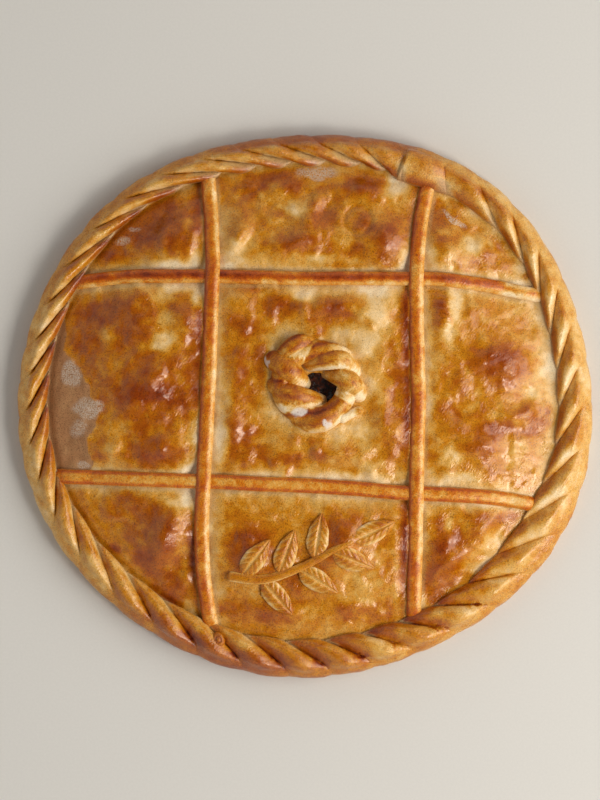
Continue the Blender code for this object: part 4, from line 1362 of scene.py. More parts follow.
    def browning(self, x: Array, y: Array) -> tuple[Array, Array]:
        """How dark the lid is: its browning, with painted shadow left of the long strips and a
        painted sheen on flanks that face the window.

        Args:
            x, y: the places.

        Returns:
            The browning with its painted light and shade, and how pale each place is: mostly pale
            dough, in one spot a painted highlight.
        """
        form, noise = self.form, Unevenness(self.seed + 1)
        warped_x = x + 3.2 * noise.layered(x, y, 1.0, 15.0, 3) + 0.9 * noise.at(x, y, 3.0, 3.2)
        warped_y = y + 3.2 * noise.layered(x, y, 7.0, 15.0, 3) + 0.9 * noise.at(x, y, 5.0, 3.2)
        left = np.ones_like(x)
        for one in self.browned_and_shaded:
            left *= 1.0 - strength_at(warped_x, warped_y, one, 1.25)
        blond_and_sheen = sum(strength_at(warped_x, warped_y, one, 1.25) for one in self.blond_and_sheen)
        distance = form.strip_distance(x, y)
        shore = form.past_rope(x, y)
        right = smooth(x / 200.0 + 0.5) * smooth((y + 104.0) / 25.0)
        pale = np.maximum(hump(distance, 8.5), right * hump(np.maximum(shore, 0.0), 9.0))
        pale = np.maximum(pale, 0.8 * hump(form.vent_reach(x, y) - 2.9, 1.1))
        pale = np.maximum(pale, 0.8 * smooth((y - 95.0) / 30.0) * hump(np.maximum(shore, 0.0), 5.0))
        patch = 1.0 - left
        ragged = 0.7 * patch * left * noise.layered(x, y, 11.0, 5.0, 3)
        bake = self.plain_bake + 0.13 * noise.layered(x, y, 2.0, 28.0, 4)
        bake = bake + self.patch_bake * patch + ragged
        bake += 0.07 * noise.layered(x, y, 15.0, 5.0, 3)
        bake -= self.blond_and_sheen_loss * np.minimum(blond_and_sheen, 1.3)
        # painted shadow left of the long strips: no paleness there, darker browning, and a darker
        # line right beside each strip
        heap_and_shadow_band = self.heap_and_shadow_band(x, y, 7.0, 2.8)
        bake -= self.pale_loss * pale * (1.0 - 0.9 * np.minimum(heap_and_shadow_band, 1.0))
        bake = bake + self.painted_strip_shadow * heap_and_shadow_band + 0.22 * self.heap_and_shadow_band(x, y, 5.8, 1.4)
        # painted sheen: patches are paler on flanks that face the window
        return bake - self.painted_sheen_loss * self.lit(x, y) * patch, np.minimum(blond_and_sheen, 1.0)

    def marks(self, points: Array) -> Marks:
        """Browning, egg wash, flour and creases of the lid's skin.

        Args:
            points: the lid's points.

        Returns:
            The values of each mark.
        """
        x, y = points[:, 0], points[:, 1]
        form, noise = self.form, Unevenness(self.seed + 2)
        bake, blond_and_sheen = self.browning(x, y)
        edge = np.asarray(self.unwashed_edge)
        edge_x = np.interp(y, edge[::-1, 1], edge[::-1, 0]) + 3.0 * noise.layered(x, y, 0, 7.0, 3)
        beside = (y > edge[-1, 1] - 1.0) & (y < edge[0, 1] + 1.0)
        washed = np.where(beside, smooth((x - edge_x) / 1.6), 1.0)
        flour = strongest(x + 3.6 * noise.layered(x, y, 3.0, 8.0, 3),
                          y + 3.6 * noise.layered(x, y, 6.0, 8.0, 3), self.floury, 1.6)
        bake = bake * (0.55 + 0.45 * washed) + 0.18 * (1.0 - washed)
        shore = form.past_rope(x, y)
        crease = np.maximum(0.85 * smooth((3.5 - shore) / 4.0),
                            0.6 * smooth((8.5 - form.strip_distance(x, y)) / 3.5))
        crease *= 1.0 - 0.6 * blond_and_sheen
        crease *= 1.0 - 0.8 * np.minimum(self.heap_and_shadow_band(x, y, 6.5, 3.5), 1.0)
        wash = washed * (0.55 + 0.45 * smooth((bake - 0.15) / 0.2))
        return {"bake": bake, "wash": wash, "flour": flour, "crease": crease}

    def slab(self) -> Mesh:
        """The closed slab of dough before the vent is cut: a fine top on a plain underside."""
        form, fine, step = self.form, self.cells, self.stitch
        coarse = fine // step

        def grid(cells: int) -> tuple[Array, Array]:
            """X and Y of an even grid, drawn out to the pie's outline."""
            v, u = np.meshgrid(np.linspace(-1, 1, cells + 1), np.linspace(-1, 1, cells + 1),
                               indexing="ij")
            x, y = u * np.sqrt(1 - v * v / 2), v * np.sqrt(1 - u * u / 2)
            reach = form.outline(bearing(x, y)) - self.rim_inset
            return x * reach, y * reach

        x, y = grid(fine)
        top = xyz(x, y, self.skin(x, y)).reshape(-1, 3)
        x, y = grid(coarse)
        inset = form.inset(x, y)
        thickness = form.lid_thickness - 2.2 * hump(inset - form.edge_inset, 12.0)
        under = xyz(x, y, form.lid_shell(inset) - thickness + form.gap).reshape(-1, 3)
        faces = [*quads(fine + 1, fine + 1),
                 *quads(coarse + 1, coarse + 1, start=len(top))[:, ::-1]]

        def loop(cells: int, start: int) -> Array:
            """Indices of a grid's rim, once round."""
            index = start + np.arange((cells + 1) ** 2).reshape(cells + 1, cells + 1)
            return np.concatenate([index[0, :-1], index[:-1, -1], index[-1, :0:-1],
                                   index[:0:-1, 0]])

        upper, lower = loop(fine, 0), loop(coarse, len(top))
        for k in range(len(lower)):
            a = [upper[(k * step + j) % len(upper)] for j in range(step + 1)]
            c, d = lower[k], lower[(k + 1) % len(lower)]
            half = step // 2
            faces += [(a[j], a[j + 1], c) for j in range(half)]
            faces += [(a[j], a[j + 1], d) for j in range(half, step)]
            faces.append((a[half], d, c))
        return make_mesh("lid_slab", np.vstack([top, under]), faces)

    def vent(self) -> Object:
        """The slanted oval that cuts the vent."""
        sides = 72
        turn = np.radians(np.arange(sides) * (360.0 / sides))
        noise = Unevenness(self.seed + 3)
        wobble = 1.0 + 0.05 * noise.at(3 * np.cos(turn), 3 * np.sin(turn), 0.0, 1.0)
        x, y = self.form.round_vent(turn, wobble)
        points = np.concatenate([xyz(x, y, z) for z in (5.0, 45.0)])
        faces = [*quads(2, sides, closed=True), np.arange(sides), np.arange(sides) + sides]
        return add_object("vent_cutter", make_mesh("vent_cutter", points, faces))

    def build(self, finish: Material) -> None:
        """Makes the lid and lays it in place.

        Args:
            finish: its material.
        """
        piece = add_object("lid_slab", self.slab())
        cutter = self.vent()
        opening = piece.modifiers.new("vent", "BOOLEAN")
        opening.operation, opening.solver, opening.object = "DIFFERENCE", "MANIFOLD", cutter
        piece = applied(piece, "lid_dough")
        bpy.data.objects.remove(cutter)
        piece.data.shade_smooth()
        piece.data.set_sharp_from_angle(angle=math.radians(60))
        put_marks(piece.data, **self.marks(places(piece.data)))
        place_piece(piece, finish, "lid_crust", "lid")


# ------------------------------ rolled dough
class RolledDough:
    """Geometry Nodes that roll dough of an oval section along a path."""

    def __init__(self) -> None:
        """Builds the tree once; every roll shares it."""
        tree = bpy.data.node_groups.new("rolled dough", "GeometryNodeTree")
        self.tree = tree
        face = tree.interface
        face.new_socket("Path", in_out="INPUT", socket_type="NodeSocketGeometry")
        self.inputs = {}
        for name, kind in (("Width", "NodeSocketFloat"), ("Height", "NodeSocketFloat"),
                           ("Step", "NodeSocketFloat"), ("Sides", "NodeSocketInt"),
                           ("Lumpiness", "NodeSocketFloat"), ("Lump Size", "NodeSocketFloat"),
                           ("Seed", "NodeSocketFloat"), ("Finish", "NodeSocketMaterial")):
            self.inputs[name] = face.new_socket(name, in_out="INPUT", socket_type=kind).identifier
        face.new_socket("Roll", in_out="OUTPUT", socket_type="NodeSocketGeometry")
        make = NodeMaker(tree)

        def given(name: str) -> Value:
            """One of the tree's inputs."""
            return make.add("NodeGroupInput", output=name)

        upright = make.add("GeometryNodeSetCurveNormal", {"mode": "Z_UP"},
                           {"Curve": given("Path")})
        path = make.add("GeometryNodeResampleCurve", {"mode": "LENGTH"},
                        {"Curve": upright, "Length": given("Step")})
        circle = make.add("GeometryNodeCurvePrimitiveCircle", {"mode": "RADIUS"},
                          {"Resolution": given("Sides"), "Radius": 0.5})
        size = make.add("ShaderNodeCombineXYZ", {}, [given("Width"), given("Height"), 1.0])
        section = make.add("GeometryNodeTransform", {}, {"Geometry": circle, "Scale": size})
        roll = make.add("GeometryNodeCurveToMesh", {}, {
            "Curve": path, "Profile Curve": section, "Fill Caps": True,
            "Scale": make.add("GeometryNodeInputRadius")})
        noise = make.add("ShaderNodeTexNoise", {"noise_dimensions": "4D"}, {
            "Vector": make.add("GeometryNodeInputPosition"), "W": given("Seed"),
            "Scale": given("Lump Size"), "Detail": 2.0})
        push = make.add("ShaderNodeVectorMath", {"operation": "SCALE"}, {
            "Vector": make.add("GeometryNodeInputNormal"),
            "Scale": (noise - 0.5) * given("Lumpiness")})
        lumpy = make.add("GeometryNodeSetPosition", {}, {"Geometry": roll, "Offset": push})
        whole = make.add("GeometryNodeRealizeInstances", {}, {"Geometry": lumpy})
        dressed = make.add("GeometryNodeSetMaterial", {},
                           {"Geometry": whole, "Material": given("Finish")})
        make.add("NodeGroupOutput", {}, [dressed], output=None)

    def roll(self, name: str, path: Array, width: float, height: float, thin: Array,
             finish: Material, seed: int, step: float = 0.9, sides: int = 36,
             lumpiness: float = 0.5, lump_size: float = 7.0) -> Object:
        """Rolls one piece.

        Args:
            name: the name of the piece.
            path: its middle line, one row of x, y and z for each point.
            width, height: size of its section.
            thin: size of each section of the path, as a share.
            finish: its material.
            seed: seed of its unevenness.
            step: distance between sections.
            sides: faces round the section.
            lumpiness: depth of its unevenness.
            lump_size: size of a lump.

        Returns:
            A plain mesh object.
        """
        curve = bpy.data.curves.new(name, "CURVE")
        curve.dimensions = "3D"
        spline = curve.splines.new("POLY")
        spline.points.add(len(path) - 1)
        for point, place, size in zip(spline.points, path, thin):
            point.co = (*(place * MM), 1.0)
            point.radius = float(size)
        guide = add_object(f"{name} path", curve)
        modifier = guide.modifiers.new("roll", "NODES")
        modifier.node_group = self.tree
        values = {"Width": width * MM, "Height": height * MM,
                  "Step": step * MM, "Sides": sides,
                  "Lumpiness": lumpiness * MM, "Lump Size": 1.0 / (lump_size * MM),
                  "Seed": float(seed), "Finish": finish}
        for key, value in values.items():
            modifier[self.inputs[key]] = value
        piece = applied(guide, name)
        face_outwards(piece.data, merge=True)
        return piece


def rounded_ends(count: int, reach: float) -> Array:
    """Section sizes of a roll with rounded ends, each over a share of its length.

    Args:
        count: how many sections there are.
        reach: the share of the length of each end.

    Returns:
        The size of each section.
    """
    share = np.linspace(0.0, 1.0, count)
    ends = np.clip(np.minimum(share, 1.0 - share) / reach, 0.0, 1.0)
    return np.sqrt(np.clip(1.0 - (1.0 - ends) ** 2, 0.02, 1.0))


@dataclass
class Strips:
    """Four rolled strips across the lid; the two that run away from the diner lie on top."""

    form: PieForm
    width: float = 8.8
    height: float = 5.4
    sunk: float = 0.7
    hop: float = 2.1
    hop_length: float = 9.0
    seed: int = 31

    def path(self, name: str) -> Array:
        """The middle line of a strip, with its hops over the strips that it crosses.

        Args:
            name: which strip it is.

        Returns:
            Its points, one row each.
        """
        form = self.form
        crosswise = name in ("strip_back", "strip_front")
        line = smooth_line(form.strips[name], 1.5)
        noise = Unevenness(self.seed + len(name))
        x, y = line[:, 0], line[:, 1]
        lift = np.full(len(line), 0.5 * self.height - self.sunk)
        if not crosswise:
            for other in ("strip_back", "strip_front"):
                distance, _ = from_line(x, y, np.asarray(form.strips[other]))
                lift += self.hop * hump(distance, self.hop_length)
        degrees = bearing(x, y)
        bulge = form.bulge(degrees)
        rim = form.rope_width(degrees) + bulge + 1.0 - form.inset(x, y)
        lift -= (3.6 + 0.5 * bulge) * smooth(rim / 7.0 + 0.4)
        swerve = 0.5 * noise.layered(x, y, 0.0, 26.0, 2)
        if crosswise:
            y = y + swerve
        else:
            x = x + swerve
        return xyz(x, y, form.lid_top(x, y) + lift)

    def marks(self, points: Array, name: str, path: Array) -> Marks:
        """Browning, egg wash and creases of a strip, with painted light on the side that faces the
        window and painted shade on the far side.

        Args:
            points: the strip's points.
            name: which strip it is.
            path: its middle line.

        Returns:
            The values of each mark.
        """
        x, y, z = points.T
        noise = Unevenness(self.seed + 7 * len(name))
        _, side = from_line(x, y, path[:, :2])
        side /= 0.5 * self.width
        if name in ("strip_left", "strip_right"):
            side = -side                     # the lines run towards the diner
        steep = np.abs(side)
        side += 0.2 * noise.layered(x, y, 4.0, 6.0, 4)
        bake = 0.40 + 0.18 * noise.layered(x, y, z, 16.0, 3) + 0.09 * noise.at(x, y, z, 3.0)
        if name == "strip_front":
            bake = 0.36 + 0.6 * (bake - 0.40) + 0.24 * hump(steep - 0.75, 0.22)
            bake -= 0.12 * hump(x - 122.0, 10.0)
        elif name == "strip_back":
            crest = 0.26 + 0.2 * noise.layered(x, y, 9.0, 8.0, 3)
            # painted light: the lower side, which faces the window, paler; the upper side browner
            bake = bake + 0.08 * smooth((0.4 - side) / 0.4) - 0.08 * smooth((side - 0.3) / 0.3)
            bake += crest * hump(side + 0.2, 0.42)
            bake -= 0.3 * smooth((x - 112.0) / 10.0)
        else:
            # painted light and shade: the right side, facing the window, paler, the left side
            # darker, with a painted shadow line along the left edge
            bake = bake + 0.10 * smooth((0.5 - side) / 0.4) - 0.13 * smooth((side - 0.35) / 0.3)
            bake += 0.2 * hump(side + 0.85, 0.14)
        crease = 0.7 * smooth((steep - 0.9) / 0.15)
        return {"bake": bake, "wash": 0.75, "crease": crease}

    def build(self, roller: RolledDough, finish: Material) -> None:
        """Makes the four strips and lays them in place.

        Args:
            roller: what rolls the dough.
            finish: its material.
        """
        for k, name in enumerate(self.form.strips):
            path = self.path(name)
            width = self.width * (0.93 if name == "strip_back" else 1.0)
            piece = roller.roll(f"{name}_roll", path, width, self.height,
                                rounded_ends(len(path), 0.01), finish, self.seed + k)
            put_marks(piece.data, **self.marks(places(piece.data), name, path))
            place_piece(piece, finish, "strip_dough", name)


@dataclass(frozen=True)
class Strand:
    """One visible turn of the ring: its line from outside to inside, and its size."""

    line: tuple[Point, ...]
    half_width: float
    height: float


@dataclass
class VentRing:
    """The ring of twisted dough round the steam vent, its strands pressed into one piece."""

    form: PieForm
    strands: tuple[Strand, ...] = (
        Strand(((8.4, 35.4), (-3.8, 37.0), (-11.8, 30.1), (-7.0, 25.9)), 5.8, 9.6),
        Strand(((-22.0, 30.1), (-14.4, 24.9), (-6.4, 18.6), (-0.2, 12.2)), 6.8, 11.2),
        Strand(((-21.6, 17.0), (-14.4, 10.6), (-4.2, 6.0), (10.6, 2.7)), 6.4, 10.4),
        Strand(((-8.6, -2.2), (-1.7, -7.5), (9.4, -8.5), (26.8, 1.6)), 6.6, 10.6),
        Strand(((33.2, 3.4), (28.7, 11.8), (21.4, 17.6), (12.2, 20.8)), 6.5, 10.8),
        Strand(((31.7, 17.5), (22.7, 26.6), (11.1, 27.2), (-1.0, 24.0)), 6.0, 10.6),
        Strand(((28.5, 28.0), (17.4, 32.3), (4.7, 32.3), (-2.7, 29.0)), 5.2, 8.0))
    tail: tuple[Point, ...] = ((34.6, -2.4), (31.0, -2.6), (25.0, -5.0), (19.0, -8.0))
    floury: tuple[Spot, ...] = ((-24.0, 26.0, 2.2, 6.0, 15, .9), (-3.4, -3.4, 4.8, 3.2, 15, .9),
                                (12.8, -10.4, 2.8, 2.4, -15, .9))
    core_centre: Point = (5.6, 13.6)
    core_radius: float = 19.6
    core_thickness: float = 6.4
    core_rise: float = 1.5
    seed: int = 41

    def strand_path(self, strand: Strand) -> tuple[Array, Array]:
        """Middle line of a strand, low at both ends, and the size of its sections.

        Args:
            strand: which strand it is.

        Returns:
            The line, and the size of each section as a share.
        """
        line = smooth_line(strand.line, 1.2)
        share = np.linspace(0.03, 0.97, len(line))
        arch = np.sin(np.pi * share)
        middle = self.form.lid_height + strand.height * arch - 0.9 * strand.half_width
        path = np.column_stack([line, middle])
        return path, 1.0 - 0.5 * (1.0 - arch ** 0.6)

    def core(self) -> Object:
        """The plain ring under the strands."""
        rows, columns = 90, 20
        turn, roll = np.meshgrid(2 * np.pi * np.arange(rows) / rows,
                                 2 * np.pi * np.arange(columns) / columns, indexing="ij")
        reach = self.core_radius + self.core_thickness * np.cos(roll)
        points = xyz(self.core_centre[0] + reach * np.cos(turn),
                     self.core_centre[1] + reach * np.sin(turn),
                     self.form.lid_height + self.core_rise + self.core_thickness * np.sin(roll))
        faces = quads(rows + 1, columns, closed=True) % (rows * columns)
        return add_object("ring_core", make_mesh("ring_core", points.reshape(-1, 3), faces))

    def marks(self, points: Array) -> Marks:
        """Browning of the ring, brown on top, with painted light and shade: cream on each strand's
        flank towards the front right, where the window is, darker on the far flank.

        Args:
            points: the ring's points.

        Returns:
            The values of each mark.
        """
        x, y, z = points.T
        noise = Unevenness(self.seed)
        best = np.full(len(points), np.inf)
        side = np.zeros(len(points))
        for strand in self.strands:
            path, size = self.strand_path(strand)
            for place, share in zip(path, size):
                away = np.hypot(np.hypot(x - place[0], y - place[1]), z - place[2])
                away /= strand.half_width * share
                closer = away < best
                best = np.where(closer, away, best)
                lean = (x - place[0]) * 0.55 - (y - place[1]) * 0.84
                lean /= strand.half_width * share
                side = np.where(closer, lean, side)
        height = z - self.form.lid_height
        bake = 0.38 + 0.16 * noise.layered(x, y, z, 12.0, 3) + 0.10 * noise.at(x, y, z, 3.0)
        bake -= 0.16 * smooth((x - 8.0) / 14.0)
        ragged = side + 0.25 * noise.layered(x, y, z, 4.0, 2)
        fx, fy = x + 1.6 * noise.at(x, y, z, 1.9), y + 1.6 * noise.at(y, z, x, 1.9)
        # painted light and shade: cream on the flank that faces the window, browner on the far
        # flank with a dark line along it
        bake = bake + 0.15 * smooth((height - 4.0) / 5.0) - 0.36 * smooth((ragged - 0.42) / 0.25)
        bake = bake + 0.22 * smooth((-0.25 - side) / 0.6) + 0.25 * hump(side + 0.78, 0.12)
        bake += 0.2 * hump(side - 0.12 + 0.1 * noise.at(x, y, z, 6.0), 0.07)
        crease = np.maximum(0.8 * smooth((1.8 - height) / 1.6), 0.5 * smooth((0.86 - best) / 0.1))
        flour = strongest(fx, fy, self.floury, 1.4)
        bake += 0.4 * spot(x, y, (33.0, -3.0), (4.0, 3.5), 0, 2.0)
        return {"bake": bake, "wash": 0.7, "flour": flour, "crease": crease}

    def build(self, roller: RolledDough, finish: Material) -> None:
        """Makes the ring and lays it in place.

        Args:
            roller: what rolls the dough.
            finish: its material.
        """
        home = bpy.data.collections.new("ring strands")
        for k, strand in enumerate(self.strands):
            path, size = self.strand_path(strand)
            one = roller.roll(f"strand_{k}", path, 2 * strand.half_width,
                              1.7 * strand.half_width, size, finish, self.seed + k, 0.8, 40, 0.9,
                              6.0)
            home.objects.link(one)
        tail = smooth_line(self.tail, 1.2)
        tail = np.column_stack([tail, np.full(len(tail), self.form.lid_height + 2.4)])
        size = np.interp(np.linspace(0, 1, len(tail)), (0, 0.3, 1), (1.0, 0.8, 1.2))
        home.objects.link(roller.roll("ring_tail", tail, 6.4, 6.4, size * rounded_ends(
            len(tail), 0.25), finish, self.seed + 9, 0.8, 32))
        ring = self.core()
        join = ring.modifiers.new("strands", "BOOLEAN")
        join.operation, join.operand_type, join.solver = "UNION", "COLLECTION", "MANIFOLD"
        join.collection = home
        ring = applied(ring, "ring_twist")
        for one in list(home.objects):
            bpy.data.objects.remove(one)
        bpy.data.collections.remove(home)
        ring.data.shade_smooth()
        ring.data.set_sharp_from_angle(angle=math.radians(48))
        put_marks(ring.data, **self.marks(places(ring.data)))
        place_piece(ring, finish, "ring_dough", "vent_ring")


# ------------------------------ sprig and rope end
@dataclass
class Sprig:
    """A stem of dough with leaves to both sides, on the front panel."""

    form: PieForm
    stem: tuple[Point, ...] = (
        (-46.0, -100.0), (-25.0, -102.0), (-3.0, -95.0), (16.0, -85.0), (29.0, -79.0))
    stem_width: float = 6.4
    stem_height: float = 4.6
    stem_step: float = 12.0
    stem_taper: float = 0.45
    leaf_length: float = 27.0
    leaf_width: float = 12.6
    leaf_height: float = 4.4
    leaf_overlap: float = 0.5
    midrib: float = 1.2
    vein: float = 0.45
    leaves: tuple[Point, ...] = (
        (0.1, 60.0), (0.27, -46.0), (0.4, 56.0), (0.55, -52.0), (0.69, 54.0), (0.84, -50.0),
        (1.0, 0.0))
    seed: int = 51

    def leaf_place(self, line: Array, share: float, turn: float) -> tuple[float, float, float]:
        """Middle of a leaf and the degrees it points at, with its foot at the stem's edge.

        Args:
            line: the stem's points.
            share: how far along the stem the leaf's foot is.
            turn: degrees from the stem to the leaf.

        Returns:
            X and Y of its middle, and the degrees.
        """
        place = share * (len(line) - 1)
        first = min(int(place), len(line) - 2)
        run = line[first + 1] - line[first]
        foot = line[first] + run * (place - first)
        degrees = math.degrees(math.atan2(run[1], run[0])) + turn
        edge = 0.5 * self.stem_width * (1.0 - self.stem_taper * share) * abs(
            math.sin(math.radians(turn)))
        reach = 0.5 * self.leaf_length + edge - self.leaf_overlap
        return (foot[0] + reach * math.cos(math.radians(degrees)),
                foot[1] + reach * math.sin(math.radians(degrees)), degrees)

    def leaf(self, number: int, x: float, y: float, degrees: float) -> tuple[Array, Array, Array]:
        """One leaf, draped on the lid.

        Args:
            number: which leaf, for its seed.
            x, y: its middle.
            degrees: where it points.

        Returns:
            Its points row by row, how far across the leaf each lies, and how deep in a vein.
        """
        noise = Unevenness(self.seed + number)
        turn, share = np.meshgrid(np.radians(np.arange(0, 360, 6)), np.linspace(0, 1, 64)[1:-1])
        along = -np.cos(np.pi * share)
        full = np.sqrt(1.0 - along ** 2)
        across, up = np.cos(turn) * full, np.sin(turn) * full
        shape = full ** 0.35 * (1.0 - 0.28 * along)
        px, py = 0.5 * self.leaf_length * along, 0.5 * self.leaf_width * across * shape
        py *= 1.0 + 0.05 * noise.at(px, number, 0.0, 4.0)
        rib = hump(across / np.maximum(full, 0.05), 0.16)
        fan = np.abs(((px + 1.1 * np.abs(py)) / 4.3 + 0.25) % 1.0 - 0.5) * 2.0
        side_vein = smooth((0.42 - fan) / 0.3) * smooth((np.abs(py) - 0.8) / 0.8)
        veins = np.maximum(rib, 0.6 * side_vein) * (up > 0) * full ** 0.5
        wx, wy = turned(px, py, degrees)
        wx, wy = wx + x, wy + y
        lift = self.leaf_height * (0.35 + 0.5 * up * full ** 0.2)
        lift -= (self.midrib * rib * full + self.vein * side_vein) * (up > 0)
        lift += 0.25 * noise.layered(wx, wy, 0.0, 5.0, 2) * (up > 0)
        return xyz(wx, wy, self.form.lid_top(wx, wy) + lift), py, veins

    def marks(self, points: Array, edge: Array, veins: Array) -> Marks:
        """Browning of the sprig: its raised parts darker than its edges and veins.

        Args:
            points: the piece's points.
            edge: how near an edge each is, from 0 to 1.
            veins: how deep in a vein each is, from 0 to 1.

        Returns:
            The values of each mark.
        """
        x, y, z = points.T
        noise = Unevenness(self.seed + 20)
        bake = 0.50 + 0.14 * noise.layered(x, y, z, 11.0, 3) - 0.26 * edge - 0.22 * veins
        return {"bake": bake, "wash": 0.8, "crease": 0.35 * veins}

    def build(self, roller: RolledDough, finish: Material) -> None:
        """Makes the stem and the leaves and lays them in place.

        Args:
            roller: what rolls the dough.
            finish: its material.
        """
        line = smooth_line(self.stem, self.stem_step)
        fine = smooth_line(self.stem, 1.5)
        x, y = fine.T
        path = np.column_stack([fine, self.form.lid_top(x, y) + 0.5 * self.stem_height - 0.7])
        thin = np.linspace(1.0, 1.0 - self.stem_taper, len(path)) * rounded_ends(len(path), 0.03)
        stem = roller.roll("sprig_stem_roll", path, self.stem_width, self.stem_height, thin,
                           finish, self.seed, 0.8, 28, 0.5, 5.0)
        points = places(stem.data)
        distance, _ = from_line(points[:, 0], points[:, 1], path[:, :2])
        put_marks(stem.data, **self.marks(points, smooth((distance - 1.6) / 1.2),
                                          np.zeros(len(points))))
        place_piece(stem, finish, "sprig_dough", "sprig_stem")
        for number, (share, turn) in enumerate(self.leaves):
            grid, across, veins = self.leaf(number, *self.leaf_place(line, share, turn))
            points, faces = with_poles(grid)
            leaf = f"leaf_{number + 1}"
            mesh = make_mesh(leaf, points, faces)
            edge = smooth((np.abs(np.append(across.ravel(), (6.0, 6.0))) - 3.6) / 2.4)
            put_marks(mesh, **self.marks(points, edge, np.append(veins.ravel(), (0.0, 0.0))))
            place_piece(add_object(leaf, mesh), finish, "sprig_dough", f"sprig_{leaf}")


@dataclass
class RopeEnd:
    """The tucked end of the rope, a small knob where the left strip meets the rim."""

    centre: tuple[float, float, float] = (-51.0, -137.5, 18.6)
    size: tuple[float, float, float] = (3.4, 4.6, 3.4)
    turn: float = 25.0
    seed: int = 61

    def build(self, finish: Material) -> None:
        """Makes the knob, with the small swirl pressed in its top.

        Args:
            finish: its material.
        """
        turn, share = np.meshgrid(np.radians(np.arange(0, 360, 8)), np.linspace(0, 1, 34)[1:-1])
        up, full = -np.cos(np.pi * share), np.sin(np.pi * share)
        x, y = full * np.cos(turn), full * np.sin(turn)
        dent = 0.22 * hump(np.hypot(x + 0.1, y) - 0.42, 0.12) * (up > 0)
        swell = 1.0 + 0.08 * Unevenness(self.seed).at(x, y, up, 0.6)
        x, y = turned(self.size[0] * x * swell, self.size[1] * y * swell, self.turn)
        height = self.centre[2] + self.size[2] * (up * swell - dent)
        mesh = make_mesh("rope_knob", *with_poles(xyz(self.centre[0] + x, self.centre[1] + y,
                                                      height)))
        pressed = np.append((dent / 0.22).ravel(), (0.0, 0.0))
        put_marks(mesh, bake=0.55 + 0.2 * pressed, wash=0.8, crease=0.3 * pressed)
        place_piece(add_object("rope_knob", mesh), finish, "rim_crust", "rope_end")


# ------------------------------ filling
@dataclass
class Stew:
    """The moist filling where it shows at the foot of the vent, lumpy with onion and meat."""

    form: PieForm
    reach: float = 1.5            # how far it goes past the vent's edge, as a share
    swell: float = 1.6
    seed: int = 71

    def build(self, finish: Material) -> None:
        """Makes the lumpy top of the filling under the vent.

        Args:
            finish: its material.
        """
        noise = Unevenness(self.seed)
        turn, share = np.meshgrid(np.radians(np.arange(0, 360, 4)), np.linspace(0.04, 1, 30))
        x, y = self.form.round_vent(turn, self.reach * share)
        lumps = self.swell * (0.5 + 0.5 * noise.layered(x, y, 0.0, 4.5, 2))
        floor = self.form.lid_height - self.form.lid_thickness
        top = floor - 0.6 + lumps * smooth((1.0 - share) / 0.25)
        rows, columns = x.shape
        points = xyz(x, y, top).reshape(-1, 3)
        below = xyz(x[-1], y[-1], floor - 1.6)
        faces = [*quads(rows + 1, columns, closed=True), np.arange(columns),
                 np.arange(columns) + rows * columns]
        mesh = make_mesh("stew_top", np.vstack([points, below]), faces)
        place_piece(add_object("stew_top", mesh), finish, "stew_filling")


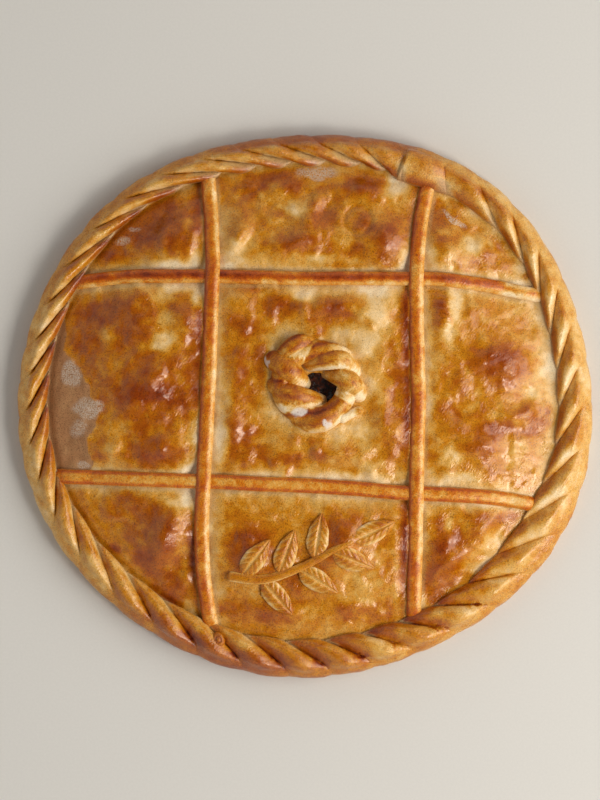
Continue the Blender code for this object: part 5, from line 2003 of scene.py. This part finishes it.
# ------------------------------ studio
@dataclass
class Studio:
    """A plain pale floor, one soft window from the right and a camera straight above."""

    centre: tuple[float, float, float] = (-3.0, 3.9, 10.0)
    view_height: float = 474.4    # what the picture's long side takes in
    camera_distance: float = 3000.0
    sensor: float = 36.0
    floor_size: float = 6000.0
    window_distance: float = 1700.0
    panes: tuple[tuple[float, float, float, float, float], ...] = (
        (-7.0, 38.0, 1600.0, 1200.0, 20.5),     # azimuth, elevation, width, height and power
        (-32.0, 49.0, 480.0, 420.0, 7.8))
    sky: Colour = (0.63, 0.63, 0.64)
    overhead: Colour = (0.06, 0.06, 0.06)   # the dark round the camera, so the glaze stays clear

    def floor(self) -> None:
        """Lays the floor."""
        reach = self.floor_size / 2
        points = np.array([(-reach, -reach, 0), (reach, -reach, 0), (reach, reach, 0),
                           (-reach, reach, 0)], float)
        plane = add_object("floor", make_mesh("floor", points, [(0, 1, 2, 3)]))
        plane.data.materials.append(FloorFinish().build())

    def light(self) -> None:
        """Hangs the window, a wide pale light with a small bright one below it, and the sky."""
        for azimuth, elevation, width, height, power in self.panes:
            azimuth, elevation = math.radians(azimuth), math.radians(elevation)
            lamp = bpy.data.lights.new("window", "AREA")
            lamp.shape, lamp.size, lamp.size_y = "RECTANGLE", width * MM, height * MM
            lamp.energy = power
            lamp.color = (1.0, 0.985, 0.97)
            made = add_object("window", lamp)
            distance = self.window_distance * MM
            made.location = (distance * math.cos(elevation) * math.cos(azimuth),
                             distance * math.cos(elevation) * math.sin(azimuth),
                             distance * math.sin(elevation))
            made.rotation_euler = (math.pi / 2 - elevation, 0.0, azimuth + math.pi / 2)
        world = bpy.data.worlds.new("sky")
        world.use_nodes = True
        make = NodeMaker(world.node_tree)
        way = make.add("ShaderNodeTexCoord", output="Generated")
        height = make.add("ShaderNodeSeparateXYZ", {}, {"Vector": way}, "Z")
        colour = make.blend(height.between(0.62, 0.92), self.sky, self.overhead)
        glow = make.add("ShaderNodeBackground", {}, {"Color": colour})
        make.add("ShaderNodeOutputWorld", {}, {"Surface": glow}, output=None)
        bpy.context.scene.world = world

    def camera(self) -> None:
        """Puts the camera straight above the pie."""
        lens = bpy.data.cameras.new("camera")
        lens.sensor_width = self.sensor
        lens.lens = self.sensor * self.camera_distance / self.view_height
        lens.clip_end = 20.0
        made = add_object("camera", lens)
        made.location = (self.centre[0] * MM, self.centre[1] * MM,
                         (self.centre[2] + self.camera_distance) * MM)
        bpy.context.scene.camera = made

    def build(self) -> None:
        """Sets the scene and its plain colour rendering."""
        self.floor()
        self.light()
        self.camera()
        bpy.context.scene.view_settings.view_transform = "Standard"


def main() -> None:
    """Builds the studio and every piece of the pie."""
    logging.basicConfig(level=logging.INFO, format="%(name)s: %(message)s")
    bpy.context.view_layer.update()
    Studio().build()
    form = PieForm()
    roller = RolledDough()
    lid_look = CrustFinish("lid crust").build()
    rim_look = CrustFinish("rim crust", dull=screen(174, 114, 68), crinkle=0.34,
                           crinkle_size=1.9, speckle=0.14, glossy=0.17, shine=0.8).build()
    strip_look = CrustFinish("strip dough", crinkle=0.2, crinkle_size=1.8, speckle=0.2,
                             mottle=0.24, stops=STRIP_BROWNING).build()
    ring_look = CrustFinish("ring dough", crinkle=0.2, crinkle_size=1.8, glossy=0.2, shine=0.55,
                            tint=(1.0, 0.8, 0.6, 1.0), floury=0.24, speckle=0.18, mottle=0.24,
                            flour=screen(228, 216, 202)).build()
    sprig_look = CrustFinish("sprig dough", crinkle=0.14, crinkle_size=1.8).build()
    stew_look = StewFinish().build()
    RopeRim(form).build(rim_look)
    Lid(form).build(lid_look)
    Strips(form).build(roller, strip_look)
    VentRing(form).build(roller, ring_look)
    Sprig(form).build(roller, sprig_look)
    RopeEnd().build(rim_look)
    Stew(form).build(stew_look)
    for slot in frame["nodes"]["filling"].material_slots:
        slot.material = stew_look


if __name__ == "__main__":
    main()
